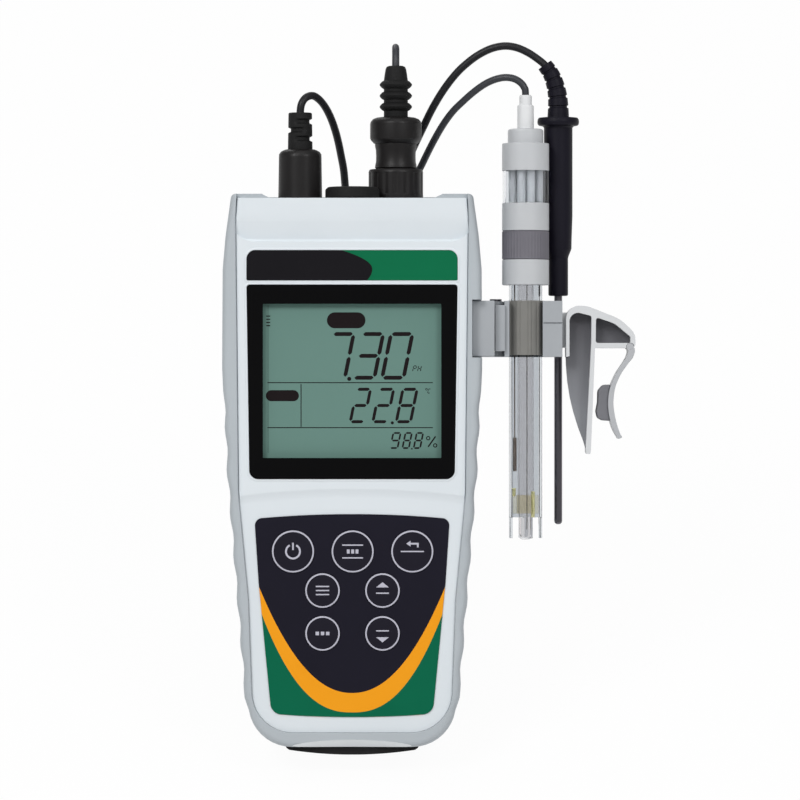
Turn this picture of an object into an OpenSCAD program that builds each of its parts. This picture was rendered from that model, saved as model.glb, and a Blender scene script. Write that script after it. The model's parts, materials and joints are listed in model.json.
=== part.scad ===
// Hand-held pH meter in a rubber boot, leaning on its flip stand, with a side
// holder that carries a glass-bulb electrode and a temperature probe.
//
// Everything but the coiled leads is drawn in the meter's own directions:
// x to the right, v from the face towards the back, u up along the face.
// lean() then tips it back until the foot and the stand are flat on the floor.
// The origin is at the middle of the foot's sole.

/* [Meter] */
// Top of the case above the foot's front edge
body_h = 192.6; // [175:0.1:235]
// Widest part of the rubber boot
boot_w = 90; // [80:0.5:110]
// Front rim of the boot to its back
boot_depth = 36; // [34:0.5:46]
// Band of boot beside the case at its widest part
boot_band = 5; // [4.4:0.1:8]
// Wall of the boot behind the case
boot_back = 2.1; // [1.5:0.1:4]
// Wall of the two plastic shells
shell_wall = 2.2; // [1.6:0.1:3]
// How much narrower the case is at the keypad's foot than at the display
taper_w = 12; // [4:0.5:16]
// Gap between parts that are fitted into each other
fit_gap = 0.15; // [0.05:0.05:0.25]

/* [Stand] */
// Angle at which the meter leans back
lean_deg = 25; // [15:1:35]
// Angle of the opened stand from the meter's back
stand_open = 45; // [35:1:55]
// Height of the stand's hinge above the foot
stand_hinge_u = 106; // [90:1:120]
// Width of the stand
stand_w = 52; // [40:1:58]

/* [Display and keys] */
// Lower edge of the display lens
lens_u = 95.5; // [92:0.5:100]
// Height of the display lens
lens_h = 67.1; // [55:0.1:70]
// Width of the display lens at its top
lens_w = 72.8; // [60:0.1:73]
// Radius of the three upper keys
key_r_large = 7.3; // [5:0.1:7.6]
// Radius of the four lower keys
key_r_small = 6; // [4.5:0.1:6.6]
// Travel of a key
key_travel = 0.5; // [0.3:0.1:0.7]

/* [Holder] */
// Middle of the side holder above the foot
holder_u = 147.5; // [120:0.5:170]
// Height of the side holder
holder_h = 19.4; // [15:0.2:26]
// Depth of the beaker clip
clip_depth = 13; // [8:0.5:16]

/* [Electrode and probe] */
// Radius of the electrode's clear tube
electrode_r = 5.8; // [4:0.1:6]
// Radius of the electrode's head
head_r = 8.2; // [7:0.1:8.4]
// Electrode tip above the foot
electrode_tip_u = 74.7; // [60:0.5:90]
// Radius of the temperature probe's steel rod
rod_r = 1.4; // [1:0.05:1.8]
// Temperature probe's tip above the foot
rod_tip_u = 79.3; // [60:0.5:95]

/* [Leads] */
// Diameter of the electrode's lead
electrode_lead_d = 2.5; // [2:0.1:3]
// Diameter of the temperature probe's lead
probe_lead_d = 2.7; // [2:0.1:3]

/* [Hidden] */
$fn = 48;

// Depths, from the front: v = 0 is a hair in front of the boot's rim.
rim_v = 0.8;
face_v = 1.2;
key_face_v = 2.2;
plate_back_v = face_v + shell_wall;
boot_back_v = rim_v + boot_depth;
case_back_v = boot_back_v - boot_back;
split_v = 17;
gasket_t = 0.6;
board_v = 11;
board_t = 1.6;

// Heights and half widths of the case, seen from the front.
case_base_u = 8;
case_half_w = boot_w / 2 - boot_band;
case_low_half_w = case_half_w - taper_w / 2;
step_u = 91;
slope_u = body_h - 15.1;
slope_drop = 1.6;
panel_t = 2.2;
panel_half_w = case_half_w - shell_wall - 1.2;
pillar_r = 3.2;

// The foot's sole lies on the floor when the meter leans.
foot_front_v = 6;
sole_front_v = 26;
sole_back_v = 34;
foot_half_w = 22;
foot_sag = 1.7;
foot_top_u = 6.8;
foot_arc_r = (foot_half_w * foot_half_w + foot_sag * foot_sag) / (2 * foot_sag);
sole_v = (sole_front_v + sole_back_v) / 2;
sole_u = (sole_v - sole_front_v) * tan(lean_deg);

// Hinge of the flip stand.
stand_pin_r = 1.5;
stand_barrel_r = 2.6;
stand_t = 3;
ear_w = 5;
stand_hinge_v = boot_back_v + stand_barrel_r + 0.2;
stand_hinge = [0, stand_hinge_v, stand_hinge_u];
stand_len = placed(stand_hinge)[2] / cos(stand_open - lean_deg);

// Connectors along the top: [x, v] of each axis.
temperature_axis = [-18.2, 17];
data_axis = [0, plate_back_v + 7.6];
signal_axis = [15.1, 23];
cap_r = 9.4;
jack_r = 4.8;
jack_bore_r = 4.06;
lug_reach = 0.8;
collar_r = 9.55;
temperature_socket_r = 4.5;
data_socket_r = 5.5;

// The side holder hangs on the boot's right-hand side.
side_x = boot_w / 2;
holder_low_u = holder_u - holder_h / 2;
holder_top_u = holder_u + holder_h / 2;
hinge_axis = [side_x + 5, 23];
hinge_pin_r = 1.2;
knuckle_r = 3.2;
knuckle_h = holder_h * 0.26;
knuckle_gap = 0.2;
turn_gap = 0.3;
electrode_axis = [side_x + 15.3, 18];
probe_axis = [side_x + 26.9, 25.4];
grip_t = 0.65;
slide_gap = 0.06;
frame_left_x = hinge_axis[0] + 2.8;
frame_right_x = probe_axis[0] + 1;
clip_x = frame_right_x + 0.5;
clip_front_v = 18 - clip_depth / 2;
clip_web_v = [clip_front_v + clip_depth * 0.42, clip_front_v + clip_depth * 0.58];
clip_pivot = [clip_x + 22.6, holder_u - 6.2];
clip_root_r = 1.1;

// Heights along the electrode, each measured up from its tip.
head_base_u = electrode_tip_u + 88.1;
ring_low_u = head_base_u + 8.9;
ring_top_u = ring_low_u + 10;
view_low_u = ring_top_u + 9.7;
view_top_u = view_low_u + 11.6;
head_top_u = view_top_u + 9.2;
cap_top_u = head_top_u + 5;
neck_top_u = cap_top_u + 11.8;
ring_neck_r = head_r - 2;
head_wall = 1.4;
tube_wall = 1.1;
stem_r = electrode_r - 2.9;
bulb_r = electrode_r - 2.1;
prong_gap = 5.2;
element_r = (electrode_r - tube_wall - stem_r) / 2 - 0.15;
neck_r = 2.9;

// Heights along the temperature probe, each measured up from its tip.
sleeve_low_u = rod_tip_u + 79.9;
handle_top_u = rod_tip_u + 142.3;
rod_top_u = sleeve_low_u + 30;
relief_route = [
    for (p = [[0, 0], [0, 4], [-0.3, 8], [-1.2, 12], [-2.6, 15.4], [-4.7, 18.4]])
        [probe_axis[0] + p[0], probe_axis[1], handle_top_u + p[1]]
];

// Label above the display, and the lens over it.
label_low_u = lens_u + lens_h + 1.5;
label_top_u = label_low_u + 10.4;
label_half_w = lens_w / 2;
window_low_u = lens_u + 7.3;
window_top_u = lens_u + lens_h - 6.6;
window_half_w = lens_w / 2 - 5.6;

// Keypad film, and the keys as [x, u, radius].
film_t = 0.35;
keypad_top_u = 83.4;
keypad_low_u = 13.3;
key_collar = 0.8;
key_stem_r = 2.2;
key_stem_v = board_v - 0.9 - key_travel;
key_row_u = [70.5, 57, 42.2];
key_places = [
    [-20.4, key_row_u[0], key_r_large],
    [0.2, key_row_u[0], key_r_large],
    [20.8, key_row_u[0], key_r_large],
    [-10.2, key_row_u[1], key_r_small],
    [10.5, key_row_u[1], key_r_small],
    [-10.2, key_row_u[2], key_r_small],
    [10.5, key_row_u[2], key_r_small]
];

// Screws that hold the shells together: [x, u].
screw_top = [case_half_w - 7.4, body_h - 11.6];
screw_low = [case_low_half_w - 8, 19];
screw_places = [for (s = [-1, 1], q = [screw_top, screw_low]) [s * q[0], q[1]]];
screw_r = 1.4;
screw_head_r = 2.7;
screw_head_v = split_v + 9;

// Battery compartment in the rear shell.
cell_r = 5.25;
cell_len = 44.5;
cell_pitch = 11;
tray_low_u = 25;
tray_wall = 1.2;
tray_half_w = 2 * cell_pitch + tray_wall;
tray_top_u = tray_low_u + cell_len + 6 + 2 * tray_wall;
tray_front_v = 17.9;
door_t = 2.2;
door_v = case_back_v - door_t;
cell_v = door_v - cell_r - 0.6;
cell_low_u = tray_low_u + tray_wall + 3.6;
door_half_w = tray_half_w + 1.5;
door_low_u = tray_low_u - 2;
door_top_u = tray_top_u + 2;

// Leads. A coil lies behind the stand, hidden by the meter.
coil_r = 14;
coil_y = 118;
electrode_coil_x = 20;
probe_coil_x = -20;

electrode_exit = [electrode_axis[0], electrode_axis[1], neck_top_u];
electrode_lead_down = [
    [59.8, 86.3, 213.4], [58.3, 87.3, 215], [55.9, 88.2, 216], [52.8, 89, 216],
    [49.4, 89.7, 214.9], [45.8, 90.3, 212.8], [42, 90.8, 209.6], [38.5, 91.4, 206],
    [35, 92, 202], [31.5, 92.7, 196.5], [28, 93.5, 189.5], [24.5, 94.3, 181.5],
    [21, 95, 173], [18.5, 96, 160], [18.5, 96.5, 140], [22, 97.2, 105], [27, 98, 65],
    [31, 98.5, 36], [33, 99.5, 19], [34, 102, 8.5], [34, 107, 3.2], [34, 118, 2.5]
];
signal_exit = [signal_axis[0], signal_axis[1], body_h + 46.9];
signal_lead_down = [
    [15.1, 96.4, 221.4], [15.1, 99.3, 222.7], [15, 102.4, 222.1], [15, 104.6, 219.8],
    [15, 105.2, 216.5], [14.8, 104.6, 207], [14.4, 103.6, 195], [14, 102.8, 178],
    [12.8, 102, 145], [11, 101.5, 100], [9, 101, 58], [7.4, 101, 28], [6.4, 102, 14],
    [6, 104.5, 6.5], [6, 109, 2.9], [6, 118, 2.5]
];
probe_lead_down = [
    [64.5, 98, 219.6], [61.2, 99.3, 221.4], [57.5, 100.4, 222.7], [53.5, 101.1, 223.1],
    [49.2, 101.5, 222.2], [45, 101.5, 220.2], [41, 101.2, 217.4], [36.5, 100.6, 213.2],
    [32, 99.8, 207.3], [28, 99, 200.5], [24.5, 98.5, 193], [21, 98, 185.2],
    [17.5, 97.5, 176.5], [14, 97, 166], [8, 97, 142], [2, 97.5, 108], [-2, 98, 72],
    [-5, 98.3, 36], [-6, 99.5, 17], [-6, 102.5, 7.5], [-6, 108, 3.1], [-6, 118, 2.7]
];
temperature_exit = [temperature_axis[0], temperature_axis[1], body_h + 30.2];
temperature_lead_down = [
    [-17.7, 83, 208.6], [-16.2, 84.7, 210.2], [-13.9, 86.7, 210.1], [-11.7, 88.4, 208],
    [-9.6, 90, 204.5], [-7.6, 91.6, 199.5], [-5.8, 93, 193], [-4.3, 94.2, 185],
    [-3, 95.3, 175], [-2.5, 96.5, 155], [-6.5, 97.5, 125], [-13, 98, 90], [-21, 98, 55],
    [-28, 98.5, 30], [-32.5, 100, 15], [-34, 103, 7], [-34, 108, 3.2], [-34, 118, 2.7]
];

// ---- shared geometry -------------------------------------------------------

function placed(p) = [
    p[0],
    (p[1] - sole_v) * cos(lean_deg) + (p[2] - sole_u) * sin(lean_deg),
    -(p[1] - sole_v) * sin(lean_deg) + (p[2] - sole_u) * cos(lean_deg)
];

function unit(a) = a / norm(a);

// One corner of an outline, [x, y, radius], as an arc between its neighbours.
function corner(before, at, after, steps) =
    let (
        c = [at[0], at[1]],
        a = unit([before[0], before[1]] - c),
        b = unit([after[0], after[1]] - c),
        half = acos(max(-1, min(1, a * b))) / 2,
        reach = at[2] / tan(half),
        centre = c + unit(a + b) * at[2] / sin(half)
    )
    at[2] <= 0 ? [c] : [
        for (k = [0 : steps])
            centre + at[2] * unit((c + a * reach - centre) * (1 - k / steps)
                + (c + b * reach - centre) * k / steps)
    ];

function rounded(p, steps = 5) = [
    for (i = [0 : len(p) - 1])
        each corner(p[(i + len(p) - 1) % len(p)], p[i], p[(i + 1) % len(p)], steps)
];

function both_sides(right) = concat(
    right,
    [for (k = [len(right) - 1 : -1 : 0]) [-right[k][0], right[k][1], right[k][2]]]
);

// Outline of the case, drawn in by inset on its sides and base.
function case_outline(inset, top_u) = rounded(both_sides([
    [case_low_half_w - inset, case_base_u + inset, 14 - inset],
    [case_low_half_w + 1.7 - inset, 54, 0],
    [case_half_w - 0.8 - inset, step_u, 0],
    [case_half_w + 0.2 - inset, body_h - 6.6, 0],
    [case_half_w - 0.3 - inset, top_u, 0]
]));

// Outline of the boot, drawn in by inset all round.
function boot_outline(inset, top_u) = rounded(both_sides([
    [side_x - 9.1 - inset, 2.8 + inset, 15 - inset / 2],
    [side_x - 1.6 - inset, 97, 0],
    [side_x - inset, body_h - 58.6, 0],
    [side_x - 0.2 - inset, body_h - 24.6, 0],
    [side_x - 1.2 - inset, body_h - 13, 0],
    [side_x - 3.2 - inset, top_u - inset, 2]
]));

// Tips the meter back on its foot and stand.
module lean() {
    rotate([-lean_deg, 0, 0])
        translate([0, -sole_v, -sole_u])
            children();
}

// Extrudes an outline seen from the front between two depths.
module slab(v0, v1) {
    translate([0, v1, 0])
        rotate([90, 0, 0])
            linear_extrude(v1 - v0)
                children();
}

module block(x, v, u) {
    translate([x[0], v[0], u[0]])
        cube([x[1] - x[0], v[1] - v[0], u[1] - u[0]]);
}

// A round bar along u.
module bar(axis, u0, u1, r, top_r = undef) {
    translate([axis[0], axis[1], u0])
        cylinder(h = u1 - u0, r1 = r, r2 = is_undef(top_r) ? r : top_r);
}

// A round bar along v.
module stud(x, u, v0, v1, r) {
    translate([x, v0, u])
        rotate([-90, 0, 0])
            cylinder(h = v1 - v0, r = r);
}

// Frames carried along a route without twist.
function tangent(p, i) = unit(p[min(i + 1, len(p) - 1)] - p[max(i - 1, 0)]);
function carried(p, i, side) =
    i == len(p) ? [] :
    let (t = tangent(p, i), s = unit(side - (side * t) * t))
    concat([[s, cross(t, s)]], carried(p, i + 1, s));

// A round tube swept along a route, with one radius for each point.
module swept(p, radii, sides = 8) {
    frames = carried(p, 0, [1, 0.2, 0]);
    last = (len(p) - 1) * sides;
    polyhedron(
        points = [
            for (i = [0 : len(p) - 1], k = [0 : sides - 1])
                p[i] + radii[i] * (frames[i][0] * cos(360 * k / sides)
                    + frames[i][1] * sin(360 * k / sides))
        ],
        faces = concat(
            [[for (k = [0 : sides - 1]) k]],
            [for (i = [0 : len(p) - 2], k = [0 : sides - 1]) let (j = (k + 1) % sides)
                [i * sides + k, (i + 1) * sides + k, (i + 1) * sides + j]],
            [for (i = [0 : len(p) - 2], k = [0 : sides - 1]) let (j = (k + 1) % sides)
                [i * sides + k, (i + 1) * sides + j, i * sides + j]],
            [[for (k = [sides - 1 : -1 : 0]) last + k]]
        )
    );
}

// A lead from its exit, straight for a moment, then along its route.
module lead(exit, route, d) {
    start = placed(exit);
    along = placed(exit + [0, 0, 0.8]);
    p = concat([start, along], route);
    swept(p, [for (q = p) d / 2]);
}

// The outer shape of a coil of turns lying on the floor.
module coil(x, d) {
    translate([x, coil_y, 0])
        rotate_extrude()
            translate([coil_r, 0])
                polygon(rounded([
                    [-1.5 * d, 0, d / 2], [1.5 * d, 0, d / 2],
                    [1.5 * d, 2 * d, d / 2], [-1.5 * d, 2 * d, d / 2]
                ], 3));
}

// ---- case ------------------------------------------------------------------

// Face plate and side walls, with pillars that the screws bite into.
module front_shell() color("white") lean() difference() {
    union() {
        difference() {
            slab(face_v, split_v - gasket_t / 2)
                polygon(case_outline(0, body_h));
            slab(plate_back_v, split_v)
                polygon(case_outline(shell_wall, body_h + 1));
        }
        for (s = screw_places)
            stud(s[0], s[1], plate_back_v - 0.2, split_v - gasket_t / 2, pillar_r);
    }
    slab(face_v - 1, key_face_v)
        intersection() {
            polygon(case_outline(1.6, step_u));
            translate([0, step_u - 160.5])
                circle(r = 160, $fn = 180);
        }
    translate([0, face_v, slope_u])
        rotate([-atan(slope_drop / (body_h - slope_u)), 0, 0])
            translate([-60, -5, 0])
                cube([120, 5, 30]);
    slab(face_v - 1, plate_back_v + 1)
        window_outline(0.8);
    slab(face_v - 1, face_v + 1)
        lens_outline(fit_gap);
    for (k = key_places)
        stud(k[0], k[1], face_v, plate_back_v + 1, k[2] + fit_gap);
    for (s = screw_places)
        stud(s[0], s[1], 7, split_v, screw_r + slide_gap);
}

module rear_shell() color("whitesmoke") lean() difference() {
    union() {
        difference() {
            slab(split_v + gasket_t / 2, case_back_v)
                polygon(case_outline(0, body_h));
            slab(split_v, case_back_v - shell_wall)
                polygon(case_outline(shell_wall, body_h + 1));
        }
        for (s = screw_places)
            stud(s[0], s[1], split_v + gasket_t / 2, case_back_v - shell_wall + 0.2,
                pillar_r + 0.2);
        block([case_half_w - 7.2, case_half_w - 1], [18, 28], [holder_u - 8.5, holder_u + 8.5]);
    }
    for (s = screw_places) {
        stud(s[0], s[1], split_v, case_back_v + 1, screw_r + 0.2);
        stud(s[0], s[1], screw_head_v, case_back_v + 1, screw_head_r + 0.3);
    }
    block([-door_half_w - fit_gap, door_half_w + fit_gap], [door_v - 1, case_back_v + 1],
        [door_low_u - fit_gap, door_top_u + fit_gap]);
    tongue(fit_gap);
}

module shell_gasket() color("dimgray") lean() difference() {
    slab(split_v - gasket_t / 2, split_v + gasket_t / 2)
        polygon(case_outline(0.4, body_h));
    slab(split_v - 1, split_v + 1)
        polygon(case_outline(1.8, body_h + 1));
}

// Plate across the top of both shells that holds the three sockets.
module connector_panel() color("whitesmoke") lean() difference() {
    block([-panel_half_w, panel_half_w],
        [plate_back_v + 1.2, case_back_v - shell_wall - fit_gap],
        [body_h - panel_t - 0.2, body_h - 0.2]);
    bar(temperature_axis, body_h - 5, body_h + 1, temperature_socket_r + 0.1);
    bar(data_axis, body_h - 5, body_h + 1, data_socket_r + 0.1);
    bar(signal_axis, body_h - 5, body_h + 1, jack_r + 0.1);
}

module boot() color("darkgray") lean() difference() {
    hull() {
        slab(rim_v, rim_v + 1)
            polygon(boot_outline(2, body_h + 1.5));
        slab(rim_v + 4, boot_back_v - 7)
            polygon(boot_outline(0, body_h + 1.5));
        slab(boot_back_v - 1, boot_back_v)
            polygon(boot_outline(5, body_h + 1.5));
    }
    slab(rim_v - 1, case_back_v + fit_gap)
        polygon(case_outline(-fit_gap, body_h + 0.05));
    block([-31, 31], [rim_v - 1, case_back_v + fit_gap], [body_h - 10, body_h + 10]);
    slab(rim_v - 1, face_v + 2.4)
        polygon(case_outline(-fit_gap, body_h + 5));
    block([side_x - 3.5, side_x + 5], [rim_v - 1, 28], [holder_low_u - 0.3, holder_top_u + 0.3]);
    tongue(fit_gap);
    foot_shape(0.05);
}

// The foot, bevelled at the back where the leaning meter stands on it.
module foot_shape(grow) {
    slab(foot_front_v - grow, sole_back_v + grow)
        intersection() {
            translate([-foot_half_w - grow, -1])
                square([2 * (foot_half_w + grow), foot_top_u + 1 + grow]);
            translate([0, foot_arc_r])
                circle(r = foot_arc_r + grow, $fn = 240);
        }
}

module foot() color("black") difference() {
    lean()
        foot_shape(0);
    translate([-60, -60, -60])
        cube([120, 120, 60]);
}

module label() color("darkgreen") lean()
    slab(face_v - film_t, face_v)
        polygon(rounded([
            [-label_half_w, label_low_u, 0.4], [label_half_w, label_low_u, 0.4],
            [label_half_w, label_top_u, 3], [-label_half_w, label_top_u, 3]
        ]));

// ---- display and keypad ----------------------------------------------------

module lens_outline(grow) {
    half = lens_w / 2 + grow;
    polygon(rounded([
        [-half + 1, lens_u - grow, 3], [half - 1, lens_u - grow, 3],
        [half, lens_u + lens_h + grow, 1], [-half, lens_u + lens_h + grow, 1]
    ]));
}

module window_outline(grow) {
    translate([-window_half_w - grow, window_low_u - grow])
        square([2 * (window_half_w + grow), window_top_u - window_low_u + 2 * grow]);
}

module lcd_lens() color([0.06, 0.06, 0.08]) lean()
    slab(face_v - 0.4, face_v + 1)
        lens_outline(0);

module lcd_cell() color([0.42, 0.55, 0.51]) lean()
    slab(plate_back_v + 0.1, plate_back_v + 2.5)
        window_outline(2.5);

module lcd_frame() color("white") lean()
    slab(plate_back_v + 2.6, board_v)
        window_outline(1.5);

module keypad_overlay() color([0.12, 0.11, 0.15]) lean() difference() {
    slab(key_face_v - film_t, key_face_v)
        intersection() {
            polygon(rounded(both_sides([
                [case_low_half_w - 6.1, keypad_low_u, 4], [case_half_w - 7.7, 60, 0],
                [case_half_w - 6.2, keypad_top_u, 2.5]
            ])));
            translate([0, keypad_top_u - 353])
                circle(r = 353, $fn = 240);
        }
    for (k = key_places)
        stud(k[0], k[1], 0, 5, k[2] + fit_gap);
}

// Silicone sheet with a collapsing dome under each key.
module dome_sheet() color("lightgray") lean() {
    block([-26, 26], [board_v - 0.4, board_v - 0.02], [34, 79]);
    for (k = key_places)
        stud(k[0], k[1], key_stem_v + key_travel + 0.1, board_v - 0.2, key_stem_r + 0.8);
}

// A key: round cap, collar that keeps it behind the face, and a stem to its dome.
module key(place) color([0.14, 0.13, 0.17]) lean() {
    stud(place[0], place[1], key_face_v - 0.9, plate_back_v + 1, place[2]);
    stud(place[0], place[1], plate_back_v + 0.2, plate_back_v + 1, place[2] + key_collar);
    stud(place[0], place[1], plate_back_v + 0.5, key_stem_v, key_stem_r);
}
module power_key() key(key_places[0]);
module calibrate_key() key(key_places[1]);
module enter_key() key(key_places[2]);
module setup_key() key(key_places[3]);
module up_key() key(key_places[4]);
module mode_key() key(key_places[5]);
module down_key() key(key_places[6]);

// ---- inside ----------------------------------------------------------------

module main_board() color("darkgreen") lean() difference() {
    block([-case_half_w + 11.5, case_half_w - 11.5], [board_v, board_v + board_t],
        [27, body_h - 14.5]);
    for (x = [-20, 20], u = [90, 165])
        stud(x, u, board_v - 1, board_v + board_t + 1, 1.5);
}

module battery_tray() color("dimgray") lean() difference() {
    block([-tray_half_w, tray_half_w], [tray_front_v, door_v - fit_gap],
        [tray_low_u, tray_top_u]);
    block([-tray_half_w + tray_wall, tray_half_w - tray_wall],
        [tray_front_v + tray_wall, door_v + 1],
        [tray_low_u + tray_wall, tray_top_u - tray_wall]);
}

module batteries() color("goldenrod") lean()
    for (i = [-1.5 : 1 : 1.5]) {
        bar([i * cell_pitch, cell_v], cell_low_u, cell_low_u + cell_len, cell_r);
        bar([i * cell_pitch, cell_v], cell_low_u + cell_len - 0.1, cell_low_u + cell_len + 1, 1.9);
    }

// Spring at the lower end of each cell, flat plate at its upper end.
module battery_contacts() color("silver") lean()
    for (i = [-1.5 : 1 : 1.5]) {
        bar([i * cell_pitch, cell_v], tray_low_u + tray_wall, cell_low_u, 4, 2.2);
        block([i * cell_pitch - 4, i * cell_pitch + 4], [cell_v - 4, cell_v + 4],
            [cell_low_u + cell_len + 1, tray_top_u - tray_wall]);
    }

module battery_door() color("whitesmoke") lean()
    block([-door_half_w, door_half_w], [door_v, case_back_v], [door_low_u, door_top_u]);

module shell_screws() color("silver") lean()
    for (s = screw_places) {
        stud(s[0], s[1], 8, screw_head_v, screw_r);
        difference() {
            stud(s[0], s[1], screw_head_v, screw_head_v + 2, screw_head_r);
            for (r = [[1.8, 0.4], [0.4, 1.8]])
                block([s[0] - r[0], s[0] + r[0]], [screw_head_v + 1.2, screw_head_v + 3],
                    [s[1] - r[1], s[1] + r[1]]);
        }
    }

// ---- sockets and plugs -----------------------------------------------------

// Nut that holds a socket under the connector panel.
module socket_nut(axis, hole_r) difference() {
    bar(axis, body_h - panel_t - 2.4, body_h - panel_t - 0.25, hole_r + 1.9);
    bar(axis, body_h - 20, body_h, hole_r);
}

// Bayonet jack: the two lugs lie in the groove of the plug's turning collar.
module input_socket() color("silver") lean() {
    difference() {
        union() {
            bar(signal_axis, body_h - 12, body_h + 9, jack_r);
            translate([signal_axis[0], signal_axis[1], body_h + 6.6])
                rotate([0, 90, 0])
                    cylinder(h = 2 * (jack_r + lug_reach), r = 0.9, center = true);
        }
        bar(signal_axis, body_h - 2, body_h + 10, jack_bore_r);
    }
    socket_nut(signal_axis, jack_r);
    bar(signal_axis, body_h - 2.1, body_h + 2, 0.7);
}

module temperature_socket() color("black") lean() {
    difference() {
        bar(temperature_axis, body_h - 12, body_h, temperature_socket_r);
        bar(temperature_axis, body_h - 8, body_h + 1, 3.6);
    }
    socket_nut(temperature_axis, temperature_socket_r);
}

module data_socket() color("black") lean() {
    difference() {
        bar(data_axis, body_h - 13, body_h, data_socket_r);
        bar(data_axis, body_h - 10, body_h + 1, 4.6);
    }
    socket_nut(data_axis, data_socket_r);
}

// Rubber cap that is pulled off the data socket.
module dust_cap() color([0.1, 0.1, 0.11]) lean() {
    translate([data_axis[0], data_axis[1], 0])
        rotate_extrude()
            polygon([
                [0, body_h - 6], [4.52, body_h - 6], [4.52, body_h + 0.2], [cap_r, body_h + 0.2],
                [cap_r, body_h + 3.2], [cap_r - 0.9, body_h + 4.1], [0, body_h + 4.1]
            ]);
}

module temperature_plug() color([0.1, 0.1, 0.11]) lean()
    translate([temperature_axis[0], temperature_axis[1], 0])
        rotate_extrude()
            polygon([
                [0, body_h - 7], [3.5, body_h - 7], [3.5, body_h + 0.2], [7.65, body_h + 0.2],
                [7.65, body_h + 15.2], [6.9, body_h + 16.8], [5.3, body_h + 17.4],
                [0, body_h + 17.4]
            ]);

module temperature_plug_relief() color([0.1, 0.1, 0.11]) lean()
    ribbed(temperature_axis, body_h + 17.4, [for (k = [0 : 3]) body_h + 18.9 + 3 * k], 4.3, 3.5,
        temperature_exit[2], 1);

// A strain relief with grooves cut round it.
module ribbed(axis, u0, grooves, r, groove_r, u1, groove_h) difference() {
    bar(axis, u0, u1, r, r - 0.2);
    for (u = grooves)
        difference() {
            bar(axis, u, u + groove_h, r + 1);
            bar(axis, u - 0.1, u + groove_h + 0.1, groove_r);
        }
}

// Barrel of the bayonet plug, with the sleeve that enters the jack.
module signal_plug() color([0.1, 0.1, 0.11]) lean() difference() {
    translate([signal_axis[0], signal_axis[1], 0])
        rotate_extrude()
            polygon([
                [0, body_h - 1.5], [jack_bore_r - slide_gap, body_h - 1.5],
                [jack_bore_r - slide_gap, body_h + 11], [7.3, body_h + 11],
                [6.9, body_h + 15], [7.3, body_h + 19.6], [0, body_h + 19.6]
            ]);
    bar(signal_axis, body_h - 2, body_h + 2.6, 0.9);
}

// Collar that turns a quarter turn to lock the plug. It is drawn locked: the
// slots that let the lugs in lie a quarter turn away from them.
module signal_collar() color([0.1, 0.1, 0.11]) lean() difference() {
    groove_r = jack_r + lug_reach + 0.4;
    bar(signal_axis, body_h + 0.2, body_h + 10.8, collar_r);
    bar(signal_axis, body_h, body_h + 9.4, jack_r + 0.25);
    bar(signal_axis, body_h + 5.3, body_h + 7.9, groove_r);
    bar(signal_axis, body_h, body_h + 12, jack_bore_r + 0.02);
    block([signal_axis[0] - 1.2, signal_axis[0] + 1.2],
        [signal_axis[1] - groove_r, signal_axis[1] + groove_r], [body_h, body_h + 6]);
    for (a = [0 : 22.5 : 359])
        translate([signal_axis[0], signal_axis[1], body_h + 1.8])
            rotate([0, 0, a + 11.25])
                translate([collar_r + 0.55, 0, 0])
                    cylinder(h = 7.4, r = 1, $fn = 16);
}

module signal_backshell() color([0.1, 0.1, 0.11]) lean()
    translate([signal_axis[0], signal_axis[1], 0])
        rotate_extrude()
            polygon([
                [0, body_h + 19.6], [7.6, body_h + 19.6], [9, body_h + 21.4],
                [9, body_h + 26.8], [7.4, body_h + 28.6], [4.6, body_h + 29.1],
                [0, body_h + 29.1]
            ]);

// Rubber relief with three lens-shaped ribs.
module signal_relief() color([0.12, 0.12, 0.13]) lean()
    translate([signal_axis[0], signal_axis[1], 0])
        rotate_extrude()
            polygon(concat(
                [[0, body_h + 29.1], [4.2, body_h + 29.1]],
                [for (k = [0 : 2], p = [[4.2, 31.2], [5.7, 32.6], [4.2, 34]])
                    [p[0], body_h + p[1] + 3.85 * k]],
                [[4.1, body_h + 42.2], [3.4, signal_exit[2]], [0, signal_exit[2]]]
            ));

// ---- stand -----------------------------------------------------------------

module stand_bracket() color("black") lean() difference() {
    union() {
        block([-stand_w / 2 - ear_w - 0.3, stand_w / 2 + ear_w + 0.3],
            [boot_back_v, boot_back_v + 2.4], [stand_hinge_u + 3.2, stand_hinge_u + 11]);
        for (s = [-1, 1])
            translate([s * (stand_w / 2 + 0.3 + ear_w / 2), stand_hinge_v, stand_hinge_u]) {
                rotate([0, 90, 0])
                    cylinder(h = ear_w, r = stand_barrel_r, center = true);
                translate([-ear_w / 2, -stand_barrel_r - 0.2, -stand_barrel_r])
                    cube([ear_w, stand_barrel_r, 2 * stand_barrel_r + 2]);
            }
    }
    stand_axis_bar(stand_pin_r, stand_w / 2 + ear_w + 1);
}

module stand_axis_bar(r, half_len) {
    translate(stand_hinge)
        rotate([0, 90, 0])
            cylinder(h = 2 * half_len, r = r, center = true);
}

module stand_pin() color("silver") lean()
    stand_axis_bar(stand_pin_r, stand_w / 2 + ear_w);

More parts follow.
